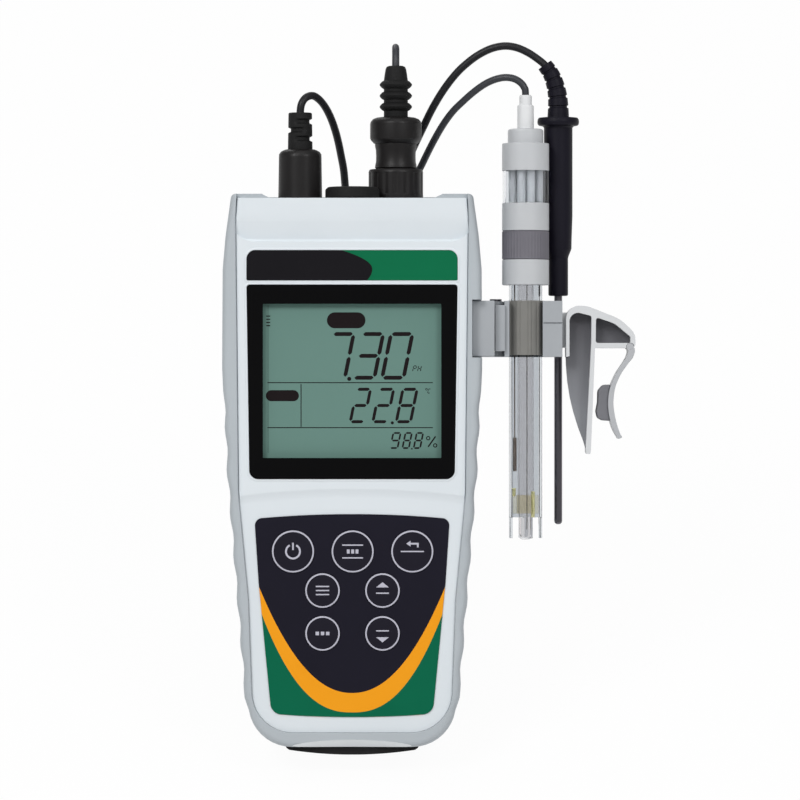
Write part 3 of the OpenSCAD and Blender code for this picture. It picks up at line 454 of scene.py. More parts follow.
# Shrink sleeve on a steel can: a dull gold.
BATTERY = moulded("battery sleeve", "#A98427", "#8C6C1E", 0.3, 0.8, 0.005, 9, ior=1.5)

# Silver chloride, coated on a silver wire: a rough greyish brown.
BROWN = moulded("silver chloride wire", "#8C7A6C", "#6E5F54", 0.6, 0.3, 0.02, 2, ior=1.6)

# PVC, extruded: a near-black jacket with a low sheen and faint drag marks.
CABLE = moulded("black PVC jacket", "#1A1A1F", "#131317", 0.45, 0.8, 0.01, 15, ior=1.53, shine=0.3)

# PVC again, extruded: the dark slate of the electrode's lead.
GREY_CABLE = moulded("slate PVC jacket", "#2E3037", "#26282E", 0.45, 0.8, 0.01, 15, ior=1.53)

# Nickel plate on spring steel: bright, with short rolling lines.
NICKEL = drawn_metal("nickel plate", "#C9C7C2", "#B5B3AE", 0.24, 0.3, 3)

# Stainless steel rod, drawn and ground: darker, with long fine lines.
STEEL = drawn_metal("ground stainless steel", "#77757A", "#5C5A60", 0.3, 0.25, 9)

# Polycarbonate, moulded: the head's window, almost clear, with a cool tint in its edges.
CLEAR = clear("clear polycarbonate", "#EDEFF1", 0.06, 1.2, 6)

# Polycarbonate again, extruded for the tube: a little smokier.
TUBE = clear("smoky polycarbonate", "#DADDE0", 0.07, 1.2, 6)

# Blown glass of the stem and its bulb, filled with buffer: clear, with a cool grey body.
BULB = clear("blown glass", "#F3F1F1", 0.1, 1.15, 4)

# Epoxy, poured where the stem leaves its tube: a faint cream tint.
SEAL = clear("cream epoxy seal", "#FAF5E4", 0.14, 1.08, 3)

# Cotton, twisted into the wicks in the seal: a matt straw yellow.
WICK = moulded("cotton wick", "#F4EDB4", "#EBE19A", 0.85, 0.3, 0.05, 2)


def acetal_with_painted_web_shade():
    """Acetal of the beaker clip, with painted shade: its set-back web is drawn darker, most of all under the
    hook.
    """
    material, tree, place = empty_finish("grey acetal with painted web shade")
    depth = add(tree, "ShaderNodeVectorMath", {0: place, 1: DEEP / MM}, operation="DOT_PRODUCT")
    height = add(tree, "ShaderNodeVectorMath", {0: place, 1: UP / MM}, operation="DOT_PRODUCT")
    low, high = span("clip_arm")
    web = (low.y + high.y) / 2 - SOLE_V
    inside = add(tree, "ShaderNodeMath", {0: depth.outputs["Value"], 1: web, 2: 1.5}, operation="COMPARE")
    rise = add(tree, "ShaderNodeMapRange",
               {"Value": height.outputs["Value"], "From Min": low.z + 6, "From Max": low.z + 40})
    # Painted shade on the web: darkest near the top under the hook's rim, paler lower down.
    shade = add(tree, "ShaderNodeMixRGB",
                {"Fac": rise.outputs["Result"], "Color1": linear("#8D8F94"), "Color2": linear("#4E4D52")})
    colour = add(tree, "ShaderNodeMixRGB",
                 {"Fac": inside.outputs[0], "Color1": linear("#D6D8DA"), "Color2": shade.outputs["Color"]})
    spark = add(tree, "ShaderNodeTexNoise", {"Vector": place, "Scale": 1 / (0.5 * MM), "Detail": 2.0})
    bump = add(tree, "ShaderNodeBump", {"Height": spark.outputs["Fac"], "Distance": 0.01 * MM})
    surface(tree, {"Base Color": colour.outputs["Color"], "Roughness": 0.42, "IOR": 1.48,
                   "Normal": bump.outputs["Normal"]})
    return material


CLIP = acetal_with_painted_web_shade()

COATS = {
    "white_shell": SHELL, "grey_boot": BOOT, "black_rubber": BLACK_RUBBER,
    "black_plastic": BLACK, "grey_plastic": GREY, "pale_grey_plastic": PALE_GREY,
    "dark_grey_rubber": DARK_RUBBER, "label_film": INKS["leaf"], "keypad_film": INKS["night"],
    "key_plastic": KEYCAP, "lens_glass": LENS, "lcd_glass": LCD, "board": BOARD,
    "battery": BATTERY, "spring_steel": NICKEL, "clear_plastic": TUBE, "bulb_glass": BULB,
    "white_plastic": WHITE, "brown_element": BROWN, "steel": STEEL, "cable": CABLE,
}

# ---- leads ------------------------------------------------------------------

# Each lead leaves its electrode or probe, falls behind the meter to a coil on the floor
# and climbs back to its plug. The free stretches are in the frame's millimetres.
ELECTRODE_LEAD_DOWN = [
    (59.8, 86.3, 213.4), (58.3, 87.3, 215), (55.9, 88.2, 216), (52.8, 89, 216),
    (49.4, 89.7, 214.9), (45.8, 90.3, 212.8), (42, 90.8, 209.6), (38.5, 91.4, 206),
    (35, 92, 202), (31.5, 92.7, 196.5), (28, 93.5, 189.5), (24.5, 94.3, 181.5),
    (21, 95, 173), (18.5, 96, 160), (18.5, 96.5, 140), (22, 97.2, 105), (27, 98, 65),
    (31, 98.5, 36), (33, 99.5, 19), (34, 102, 8.5), (34, 107, 3.2), (34, 118, 2.5),
]
SIGNAL_LEAD_DOWN = [
    (15.1, 96.4, 221.4), (15.1, 99.3, 222.7), (15, 102.4, 222.1), (15, 104.6, 219.8),
    (15, 105.2, 216.5), (14.8, 104.6, 207), (14.4, 103.6, 195), (14, 102.8, 178),
    (12.8, 102, 145), (11, 101.5, 100), (9, 101, 58), (7.4, 101, 28), (6.4, 102, 14),
    (6, 104.5, 6.5), (6, 109, 2.9), (6, 118, 2.5),
]
PROBE_LEAD_DOWN = [
    (64.5, 98, 219.6), (61.2, 99.3, 221.4), (57.5, 100.4, 222.7), (53.5, 101.1, 223.1),
    (49.2, 101.5, 222.2), (45, 101.5, 220.2), (41, 101.2, 217.4), (36.5, 100.6, 213.2),
    (32, 99.8, 207.3), (28, 99, 200.5), (24.5, 98.5, 193), (21, 98, 185.2),
    (17.5, 97.5, 176.5), (14, 97, 166), (8, 97, 142), (2, 97.5, 108), (-2, 98, 72),
    (-5, 98.3, 36), (-6, 99.5, 17), (-6, 102.5, 7.5), (-6, 108, 3.1), (-6, 118, 2.7),
]
TEMPERATURE_LEAD_DOWN = [
    (-17.7, 83, 208.6), (-16.2, 84.7, 210.2), (-13.9, 86.7, 210.1), (-11.7, 88.4, 208),
    (-9.6, 90, 204.5), (-7.6, 91.6, 199.5), (-5.8, 93, 193), (-4.3, 94.2, 185),
    (-3, 95.3, 175), (-2.5, 96.5, 155), (-6.5, 97.5, 125), (-13, 98, 90), (-21, 98, 55),
    (-28, 98.5, 30), (-32.5, 100, 15), (-34, 103, 7), (-34, 108, 3.2), (-34, 118, 2.7),
]
COIL_R = 14
COIL_Y = 118
COIL_TURNS = 5.5

# Where each turn of a coil lies, as diameters out from its middle and up from the floor.
COIL_LAYS = [(0, 1), (1, 0.5), (1, 1.5), (0, 1.5), (-1, 1.5), (-1, 0.5), (0, 1)]

ELECTRODE_AXIS = middle("electrode_tube")
PROBE_AXIS = middle("probe_rod")
SIGNAL_AXIS = middle("signal_backshell")
TEMPERATURE_AXIS = middle("temperature_plug")
CAP_AXIS = middle("dust_cap")
NECK_TOP = span("electrode_neck")[1].z
SIGNAL_TOP = span("signal_relief")[1].z
TEMPERATURE_TOP = span("temperature_plug_relief")[1].z
HANDLE_TOP = span("probe_handle")[1].z
RELIEF_ROUTE = [
    (PROBE_AXIS[0] + x, PROBE_AXIS[1], HANDLE_TOP + u)
    for x, u in [(0, 0), (0, 4), (-0.3, 8), (-1.2, 12), (-2.6, 15.4), (-4.7, 18.4)]
]


def from_meter(x, v, u):
    """A point of the meter in the frame's millimetres."""
    return tuple((METER @ Vector((x, v, u))) / MM)


def coil(x, d):
    """The turns of a coil on the floor, from its right-hand side to its left-hand side."""
    steps = 24
    points = []
    for k in range(1, int(COIL_TURNS * steps)):
        turn = k / steps
        lay = int(turn)
        ease = turn - lay
        ease = ease * ease * (3 - 2 * ease)
        (out_a, up_a), (out_b, up_b) = COIL_LAYS[lay], COIL_LAYS[min(lay + 1, len(COIL_LAYS) - 1)]
        r = COIL_R + d * (out_a + (out_b - out_a) * ease)
        z = d * (up_a + (up_b - up_a) * ease)
        angle = 2 * math.pi * turn
        points.append((x + r * math.cos(angle), COIL_Y + r * math.sin(angle), z))
    return points


def lead(name, start, down, coil_x, climb, end, d, coat, coil_node, lead_node):
    """A lead from inside its electrode or probe, through its coil, to inside its plug."""
    route = [
        *smooth_path([*start, *down]),
        *coil(coil_x, d),
        *reversed(smooth_path([*end, *climb])),
    ]
    path = [Vector(p) * MM for p in route]
    piece = form(name, swept(path, [d / 2 * MM] * len(path), 12))
    piece.data.materials.clear()
    piece.data.materials.append(coat)
    piece.data.shade_smooth()
    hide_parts(lead_node, coil_node)
    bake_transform(piece)
    Vector(start[-1]) * MM


def upright(axis, *heights):
    """Points on an upright axis, in the frame's millimetres."""
    return [from_meter(*axis, u) for u in heights]


lead("lead_of_electrode", upright(ELECTRODE_AXIS, NECK_TOP - 14, NECK_TOP), ELECTRODE_LEAD_DOWN, 20,
     SIGNAL_LEAD_DOWN, upright(SIGNAL_AXIS, SIGNAL_TOP - 6, SIGNAL_TOP), 2.5, GREY_CABLE,
     "electrode_coil", "electrode_lead")
lead("lead_of_probe", [from_meter(*p) for p in RELIEF_ROUTE[3:]], PROBE_LEAD_DOWN, -20,
     TEMPERATURE_LEAD_DOWN, upright(TEMPERATURE_AXIS, TEMPERATURE_TOP - 6, TEMPERATURE_TOP), 2.7, CABLE,
     "temperature_coil", "temperature_lead")

# ---- outlines of the case and what is set into it ----------------------------


def case_outline(inset, top):
    """The case as seen from the front, a little narrower towards its foot."""
    return rounded(mirrored([
        (CASE_W - 6.2 - inset, CASE_LOW.z + inset, 14 - inset),
        (CASE_W - 4.5 - inset, 54, 0),
        (CASE_W - 1 - inset, 91, 0),
        (CASE_W - inset, CASE_TOP - 6.6, 0),
        (CASE_W - 0.5 - inset, top, 0),
    ]), 10)


# The arch that closes the keypad's sunk face: its radius and its middle's height.
ARCH_R = 314
ARCH_U = 88.9 - ARCH_R
ARCH_SLOPE = 3.4


def recess_outline(grow):
    """The sunk face around the keypad, below the arch. It runs out past the case's sides."""
    side = CASE_W + 4
    arch = [side * (1 - k / 24) for k in range(24)]
    return mirrored([(side, -10), *[(x, ARCH_U + math.sqrt((ARCH_R + grow) ** 2 - x * x)) for x in arch]])


def arch_layers():
    """The soft wall under the arch: steep at its upper edge, then fading into the keypad face."""
    steps = 7
    layers = [(-2, recess_outline(ARCH_SLOPE))]
    for k in range(steps + 1):
        ease = math.sin(math.pi / 2 * k / steps)
        layers.append((FACE_V + (KEY_FACE_V - FACE_V) * ease, recess_outline(ARCH_SLOPE * (1 - k / steps))))
    return layers


LENS_LOW, LENS_HIGH = span("lcd_lens")
WINDOW_HALF = LENS_HIGH.x - 5.6
LABEL_LOW, LABEL_HIGH = span("label")
FILM_LOW, FILM_HIGH = span("keypad_overlay")


def lens_outline(grow):
    """The display lens, a little narrower at its foot."""
    return rounded(mirrored([
        (LENS_HIGH.x - 1 + grow, LENS_LOW.z - grow, 3 + grow),
        (LENS_HIGH.x + grow, LENS_HIGH.z + grow, 1 + grow),
    ]), 8)


def window_outline(grow):
    """The clear part of the lens."""
    return rounded(mirrored([
        (WINDOW_HALF + grow, LENS_LOW.z + 7.3 - grow, 0.25),
        (WINDOW_HALF + grow, LENS_HIGH.z - 6.6 + grow, 0.25),
    ]))


def label_outline(grow):
    """The label, with rounder corners at its top."""
    return rounded(mirrored([
        (LABEL_HIGH.x + grow, LABEL_LOW.z - grow, 0.4 + grow),
        (LABEL_HIGH.x + grow, LABEL_HIGH.z + grow, 3 + grow),
    ]), 8)


def bead(outline, width, proud):
    """A soft raised border around an outline on the case's face."""
    layers = [(0.05, 0.1), (0.1, -proud * 0.8), (0.4, -proud), (width - 0.5, -proud * 0.8), (width, 0.1)]
    return loft([[(x, FACE_V + v, u) for x, u in outline(grow)] for grow, v in layers], closed=True)


KEY_FLANGE = 0.8
KEYS = {
    node: ((low.x + high.x) / 2, (low.z + high.z) / 2, (high.x - low.x) / 2 - KEY_FLANGE)
    for node in ["power_key", "calibrate_key", "enter_key", "setup_key", "up_key", "mode_key", "down_key"]
    for low, high in [span(node)]
}

# ---- case and boot -----------------------------------------------------------

SLOPE_U = CASE_TOP - 15.1


def make_shell():
    """The front shell, with its sloped brow, the arched keypad face and the lens's seat."""
    split = CASE_HIGH.y
    edge = [(0, 2.2), (0.06, 1.4), (0.2, 0.75), (0.45, 0.28), (0.8, 0.06), (1.2, 0)]
    piece = form("shell_front", layered([
        *[(FACE_V + v, case_outline(inset, CASE_TOP)) for v, inset in edge],
        (split, case_outline(0, CASE_TOP)),
    ]))
    corners = rounded(mirrored([(CASE_W + 0.4, SLOPE_U, 9), (CASE_W + 8, CASE_TOP + 20, 0)]), 10)
    brow = form("brow", plate(corners, -4, 12))
    # How deep the brow falls away, at heights above its foot.
    drops = [(0, 0), (0.12, 1.2), (0.3, 1.8), (0.8, 2), (1.5, 1.9), (6.8, 0.5), (8.5, 0.25), (11, 0.12),
             (14, 0.1), (40, 0.1)]
    slope = [(v + FACE_V, u + SLOPE_U) for u, v in drops]
    profile = [(-6, SLOPE_U), *slope, (-6, SLOPE_U + 40)]
    cut(brow, loft([[(x, v, u) for v, u in profile] for x in (-60, 60)]), operation="INTERSECT")
    holes = [button((x, u), [(r + GAP, 0), (r + GAP, 8)]) for x, u, r in KEYS.values()]
    cut(piece, plate(case_outline(PLATE_T, CASE_TOP + 4), FACE_V + PLATE_T, split + 2),
        layered(arch_layers()),
        plate(lens_outline(GAP), -1, FACE_V + 1), plate(window_outline(0.8), 0, 6), *holes)
    carve(piece, brow)
    soften(piece, 0.45, 3, 25)
    trim = form("trim", bead(lens_outline, 1.1, 0.3), bead(label_outline, 1.1, 0.3))
    join(piece, trim)
    fit(piece, "meter", [SHELL], "white_shell", "front_shell")


def join(piece, *others):
    """Adds the other meshes to the piece as islands of it."""
    mesh = bmesh.new()
    for other in (piece, *others):
        mesh.from_mesh(other.data)
    mesh.to_mesh(piece.data)
    mesh.free()
    for other in others:
        bpy.data.objects.remove(other)


# Half width of the boot at heights up its side.
BOOT_SIDE = [(2.8, 35.9), (97, 43.4), (134, 45), (168, 44.8), (179.6, 43.8), (194.1, 41.8)]
GRIP_TOP = 128
GRIP_PITCH = 15
GRIP_DEPTH = 0.7


def boot_half(u):
    """Half width of the boot at a height, with the finger hollows along its lower sides."""
    heights, halves = zip(*BOOT_SIDE)
    fade = min(1, max(0, (GRIP_TOP - u) / 10), max(0, (u - 18) / 10))
    hollow = GRIP_DEPTH * fade * (0.5 - 0.5 * math.cos(2 * math.pi * (GRIP_TOP - u) / GRIP_PITCH))
    return float(np.interp(u, heights, halves)) - hollow


def boot_outline(inset, top):
    low = BOOT_LOW.z + inset * 0.9
    r = 15 - inset / 2
    half = boot_half(2.8) - inset
    base = [(half - r + r * math.sin(t), low + r - r * math.cos(t))
            for t in [math.radians(9 * k) for k in range(10)]]
    right = base + [(boot_half(u) - inset, u) for u in np.linspace(low + r + 2, top - 4, 70)]
    right += rounded([(0, top - 12, 0), (boot_half(top - 12) - inset, top - 12, 0),
                      (boot_half(top) - inset, top, 1.6), (0, top, 0)])[2:-1]
    return right + [(-x, u) for x, u in reversed(right)]


CRESCENT_R = 130


def crescent(top):
    """The slanting cut that bares the foot under the boot's front."""
    arc = [(2 * k, top - (2 * k) ** 2 / (2 * CRESCENT_R)) for k in range(21)]
    return mirrored([(0, -9), (40, -9), *reversed(arc)])[1:-1]


def make_boot():
    """The rubber boot: a round-edged tray that wraps the case and laps over its top corners."""
    back = BOOT_HIGH.y
    top = CASE_TOP + 1.5
    # How far the outline draws in, at depths behind the boot's front edge.
    side = [(0, 2.4), (0.1, 1.7), (0.45, 1.05), (1.1, 0.5), (2.2, 0.14), (4, 0),
            (29, 0), (31.2, 0.5), (33.4, 1.6), (35, 3.1), (back - BOOT_LOW.y, 5)]
    piece = form("boot_body", layered([(BOOT_LOW.y + v, boot_outline(i, top)) for v, i in side]))
    seat = [(-1, -0.35), (BOOT_LOW.y, -0.35), (BOOT_LOW.y + 0.5, -SNUG), (BOOT_LOW.y + 0.9, -SNUG)]
    case_back = back - 2.1 + GAP
    over = CASE_TOP + 5
    cut(piece,
        # The slanting cut takes the underside finish: the boot's grey rubber painted pale with light from the
        # floor.
        layered([(-1, crescent(6.6)), (7, crescent(1.9))], coat=1),
        layered([*[(v, case_outline(i, CASE_TOP + 0.05)) for v, i in seat],
                 (case_back, case_outline(-SNUG, CASE_TOP + 0.05))]),
        layered([(-1, case_outline(-0.35, over)), (BOOT_LOW.y + 0.6, case_outline(-SNUG, over)),
                 (FACE_V + 2.4, case_outline(-SNUG, over))]),
        plate(mirrored([(28.2, CASE_TOP - 10), (28.2, CASE_TOP), (31, CASE_TOP + 1.3), (33.5, CASE_TOP + 9)]),
              -1, case_back),
        plate(bar(BOOT_HIGH.x - 3.5, BOOT_HIGH.x + 5, HOLDER_LOW - 0.3, HOLDER_TOP + 0.3), -1, 28))
    soften(piece, 0.4, 2, 30)
    fit(piece, "meter", [BOOT, BOOT_UNDER_PAINTED_LIGHT], "grey_boot", "boot")


# The sole's half width, the radius of its bow, and its rounded end up to where the boot starts.
FOOT_W = 23.3
FOOT_R = 143
FOOT_END = [(-0.6, 2.3), (-0.1, 3.2), (0, 4.2), (0, 6.8)]


def make_foot():
    """The black sole under the boot, cut flat where the leaning meter stands on it."""
    low, high = span("foot")
    slope = -DEEP.z / UP.z
    arc = [(2.18 * k, (2.18 * k) ** 2 / (2 * FOOT_R)) for k in range(1, 11)]
    end = [(FOOT_W + x, u) for x, u in FOOT_END]
    piece = form("foot_sole", plate(mirrored(arc + end), low.y, high.y))
    floor = [(v, SOLE_U + (v - SOLE_V) * slope) for v in (-20, 80)]
    cut(piece, loft([[(x, v, u) for v, u in [*floor, (80, -60), (-20, -60)]] for x in (-60, 60)]))
    soften(piece, 0.3, 2, 32)
    fit(piece, "meter", [BLACK_RUBBER], "black_rubber", "foot")


HOLDER_LOW = span("holder_bracket")[0].z
HOLDER_TOP = span("holder_bracket")[1].z
make_shell()
make_boot()
make_foot()

# ---- label, lens and display -------------------------------------------------


def swoosh(u):
    """Where the label's black end meets its green end, at a height."""
    tip_u = LABEL_LOW.z + 3.9
    rise = u - tip_u
    return 7 - (0.25 if rise > 0 else 0.12) * rise * rise


def make_label():
    """The label: green, with a night-black end printed on its left."""
    piece = form("label_plate", layered([
        (LABEL_LOW.y + 0.35, label_outline(0)), (LABEL_LOW.y + 0.12, label_outline(0)),
        (LABEL_LOW.y, label_outline(-0.12)),
    ], coat=1))
    heights = [LABEL_LOW.z - 1 + k * (LABEL_HIGH.z - LABEL_LOW.z + 2) / 24 for k in range(25)]
    right = [(swoosh(u), u) for u in heights]
    left = [(-60, heights[-1]), (-60, heights[0])]
    night = form("label_night", layered([
        (LABEL_LOW.y + 0.35, label_outline(0)), (LABEL_LOW.y + 0.1, label_outline(0)),
        (LABEL_LOW.y - 0.03, label_outline(-0.12)),
    ]))
    cut(night, plate(right + left, -1, 3), operation="INTERSECT")
    join(piece, night)
    fit(piece, "meter", [INKS["black"], INKS["leaf"]], "label_film", "label")


# Strokes of a seven-part digit, on a unit square.
PARTS = {
    "a": ((0, 1), (1, 1)), "b": ((1, 1), (1, 0.5)), "c": ((1, 0.5), (1, 0)), "d": ((0, 0), (1, 0)),
    "e": ((0, 0), (0, 0.5)), "f": ((0, 0.5), (0, 1)), "g": ((0, 0.5), (1, 0.5)),
}
GLYPHS = {
    "0": "abcdef", "2": "abdeg", "3": "abcdg", "7": "abc", "8": "abcdefg", "9": "abcdfg",
    "C": "adef", "P": "abefg", "H": "bcefg",
}
LEAN = 0.2


def stroke(a, b, half, gap):
    """A stroke from a to b with pointed ends."""
    a, b = Vector(a), Vector(b)
    ahead = (b - a).normalized()
    side = Vector((-ahead.y, ahead.x)) * half
    a += ahead * gap
    b -= ahead * gap
    return [a, a + ahead * half + side, b - ahead * half + side, b,
            b - ahead * half - side, a + ahead * half - side]


def glyph(sign, x, u, width, height, weight):
    """The strokes of one sign, its lower left corner at (x, u), leaning to the right."""
    for part in GLYPHS[sign]:
        (ax, ay), (bx, by) = PARTS[part]
        shape = stroke((ax * width, ay * height), (bx * width, by * height), weight / 2, weight * 0.22)
        yield [(x + p.x + p.y * LEAN, u + p.y) for p in shape]


def pill(x0, x1, u0, u1):
    """An outline with round ends."""
    r = (u1 - u0) / 2
    return rounded([(x0, u0, r * 0.98), (x1, u0, r * 0.98), (x1, u1, r * 0.98), (x0, u1, r * 0.98)], 8)


def make_lens():
    """The black frame of the display's lens, with an opening for its window."""
    front = LENS_LOW.y
    lens = form("lens_frame", layered([
        (front + 1.4, lens_outline(0)), (front + 0.3, lens_outline(0)),
        (front + 0.08, lens_outline(-0.1)), (front, lens_outline(-0.3)),
    ]))
    cut(lens, layered([(front - 1, window_outline(0.35)), (front + 0.3, window_outline(0)),
                       (front + 3, window_outline(0))]))
    fit(lens, "meter", [LENS], "lens_glass", "lcd_lens")


# Rows of signs: height above the lens's foot, sign height and weight, and for each sign
# its left edge and its width.
ROWS = [
    (35, 15.1, 1.35, [("7", -9.7, 7.2), ("3", 0.5, 7.2), ("0", 10.4, 7.4)]),
    (19.8, 11.2, 1.05, [("2", -0.6, 4.7), ("2", 7.2, 4.9), ("8", 15.3, 4.9)]),
    (10.7, 5.2, 0.6, [("9", 13.2, 2.5), ("8", 17.4, 2.2), ("8", 21.3, 2.2)]),
    (37.2, 1.9, 0.28, [("P", 20.9, 1), ("H", 22.6, 1)]),
    (29.7, 1.4, 0.25, [("C", 26.1, 0.8)]),
]

# Decimal points and small rings, as (x, height above the lens's foot, radius).
POINTS = [(-1, 34.6, 0.72), (13.9, 19.4, 0.55)]
RINGS = [(26.3, 14.1, 0.75), (28.7, 11.6, 0.75), (25.7, 31, 0.4)]


def display_marks(base):
    """Outlines of all that the display shows, apart from its rings."""
    left = 1.5 - WINDOW_HALF
    yield pill(-8.7, 4.6, base + 52.1, base + 57.6)
    yield pill(-29.8, -18.4, base + 26.9, base + 30.7)
    yield bar(left, 27.9, base + 33.15, base + 33.45)
    yield bar(-17.8, -17.5, base + 18, base + 32.8)
    yield bar(left, 27.9, base + 17.6, base + 17.9)
    yield bar(-29.1, -29, base + 9, base + 60)
    yield bar(20.4, 20.9, base + 10.2, base + 10.7)
    for k in range(4):
        yield bar(-29.7, -28.3, base + 52.8 + 1.1 * k, base + 53.2 + 1.1 * k)
    for x, u, r in POINTS:
        yield circle(r, 12, (x, base + u))
    for u, height, weight, signs in ROWS:
        for sign, x, width in signs:
            yield from glyph(sign, x, base + u, width, height, weight)
    yield [(p.x, p.y) for p in stroke((26.2, base + 11), (28.9, base + 14.8), 0.25, 0)]


def make_display():
    """The liquid crystal cell behind the window, and the dark strokes on it."""
    low, high = span("lcd_cell")
    cell = form("display_glass", plate(window_outline(2.4), low.y, high.y))
    fit(cell, "meter", [LCD], "lcd_glass", "lcd_cell")

    base = LENS_LOW.z
    front, back = low.y - 0.03, low.y + 0.1
    parts = [plate(shape, front, back) for shape in display_marks(base)]
    for x, u, r in RINGS:
        inner = r * 0.55
        edge = [(r, back), (r, front), (inner, front), (inner, back)]
        parts.append(button((x, base + u), edge, 20, closed=True))
    fit(form("display_strokes", *parts), "meter", [STROKE], "lcd_glass")


make_label()
make_lens()
make_display()

# ---- keypad ------------------------------------------------------------------


# How far the film's foot bows, its half width there, and the radius of its top edge.
FILM_BOW = 1.1
FILM_FOOT = 27.9
FILM_TOP_R = 353


def film_half(u):
    """Half width of the keypad film at a height."""
    return float(np.interp(u, [FILM_LOW.z, 60, FILM_HIGH.z], [FILM_FOOT, 32.3, 33.8]))


def film_outline(grow):
    """The keypad film, bowed along its foot and its top edge."""
    crown = [30 - 3 * k for k in range(1, 10)]
    return rounded(mirrored([
        *[(x, FILM_LOW.z - grow + FILM_BOW * (x / FILM_FOOT) ** 2, 0) for x in (3, 7, 11, 15, 19)],
        (film_half(FILM_LOW.z) + grow, FILM_LOW.z + FILM_BOW - grow, 4 + grow),
        (film_half(60) + grow, 60, 0),
        (film_half(82) + grow, FILM_HIGH.z - 1.6 + grow, 2.5),
        *[(x, FILM_HIGH.z + grow - x * x / (2 * FILM_TOP_R), 0) for x in crown],
    ]), 8)


def under(line, floor):
    """What lies below a curve u = line(x), down to a floor."""
    across = [k - 40 for k in range(81)]
    return [(x, line(abs(x))) for x in across] + [(40, floor), (-40, floor)]


def make_keypad():
    """The keypad film: night blue, with an orange bow and green corners below it."""
    film_back = FILM_HIGH.y
    front = FILM_LOW.y
    lines = [None, lambda x: 21.6 + 0.0234 * x ** 2.12, lambda x: 14.9 + 0.0088 * x ** 2.4]
    film = None
    for number, line in enumerate(lines):
        skin = front - 0.03 * number
        layer = form("layer", layered([(film_back, film_outline(0)), (skin + 0.1, film_outline(0)),
                                       (skin, film_outline(-0.1))], coat=number))
        if line:
            cut(layer, plate(under(line, 0), -1, 6, number), operation="INTERSECT")
        for x, u, r in KEYS.values():
            cut(layer, button((x, u), [(r + 0.12, 0), (r + 0.12, 6)], coat=number))
        if film:
            join(film, layer)
        else:
            film = layer
            film.name = "keypad_film"
    fit(film, "meter", [INKS["night"], INKS["orange"], INKS["green"]], "keypad_film", "keypad_overlay")


def power_mark(x, u):
    """The open ring and the upright bar of a power key."""
    arc = [math.radians(118 + 304 * k / 20) for k in range(21)]
    ring = [(x + 2.75 * math.cos(t), u + 2.75 * math.sin(t)) for t in arc]
    ring += [(x + 2.1 * math.cos(t), u + 2.1 * math.sin(t)) for t in reversed(arc)]
    return [ring, bar(x - 0.3, x + 0.3, u + 0.5, u + 3)]


def rule(x, u, half):
    """A thin level line."""
    return bar(x - half, x + half, u - 0.22, u + 0.22)


def triangle(x, u, half, height):
    """A solid triangle that points up, or down if its height is below zero."""
    ahead = [(x + half, u), (x, u + height)]
    return [(x - half, u), *(ahead if height > 0 else reversed(ahead))]


def dots(left, u, size, pitch, half):
    """Three small blocks in a row."""
    return [bar(left + pitch * k, left + size + pitch * k, u - half, u + half) for k in range(3)]


def menu_lines(x, u):
    """Three level lines above each other."""
    return [bar(x - 2.3, x + 2.3, u + 1.2 - 1.4 * k, u + 1.65 - 1.4 * k) for k in range(3)]


def return_arrow(x, u):
    """An arrow that comes down and turns to the left."""
    corners = [(1.6, 1.4), (2.2, 1.4), (2.2, 3), (-0.6, 3), (-0.6, 3.7), (-2.1, 2.7), (-0.6, 1.7),
               (-0.6, 2.4), (1.6, 2.4)]
    return [(x + right, u + up) for right, up in corners]


MARKS = {
    "power_key": power_mark,
    "calibrate_key": lambda x, u: [
        rule(x, u + 2.2, 3.6), rule(x, u - 2.2, 3.6), *dots(x - 2, u, 1, 1.5, 0.7),
    ],
    "enter_key": lambda x, u: [rule(x, u, 4), return_arrow(x, u)],
    "setup_key": menu_lines,
    "up_key": lambda x, u: [triangle(x, u + 1.1, 2.2, 1.8), rule(x, u - 0.9, 2.2)],
    "mode_key": lambda x, u: dots(x - 2.4, u, 1.2, 1.8, 0.6),
    "down_key": lambda x, u: [triangle(x, u - 1.3, 2.2, -1.8), rule(x, u + 0.9, 2.2)],
}


def make_key(node, x, u, r):
    """A low-domed key cap with a printed ring and its mark."""
    low, high = span(node)
    crown = low.y - 0.05
    parts = [
        button((x, u), [(r, high.y), (r, crown + 0.5), (r - 0.12, crown + 0.25), (r - 0.3, crown + 0.12),
                        (r - 0.85, crown + 0.06), (r * 0.5, crown + 0.01), (0.01, crown)]),
        button((x, u), [(r - 0.02, crown + 0.4), (r - 0.06, crown + 0.1), (r - 0.56, crown + 0.03),
                        (r - 0.6, crown + 0.3)], coat=1, closed=True),
    ]
    parts += [plate(shape, crown - 0.04, crown + 0.2, 1) for shape in MARKS[node](x, u)]
    fit(form(node + "_cap", *parts), node, [KEYCAP, LEGEND], "key_plastic", node)


make_keypad()
for node, (x, u, r) in KEYS.items():
    make_key(node, x, u, r)

# ---- plugs along the top ------------------------------------------------------


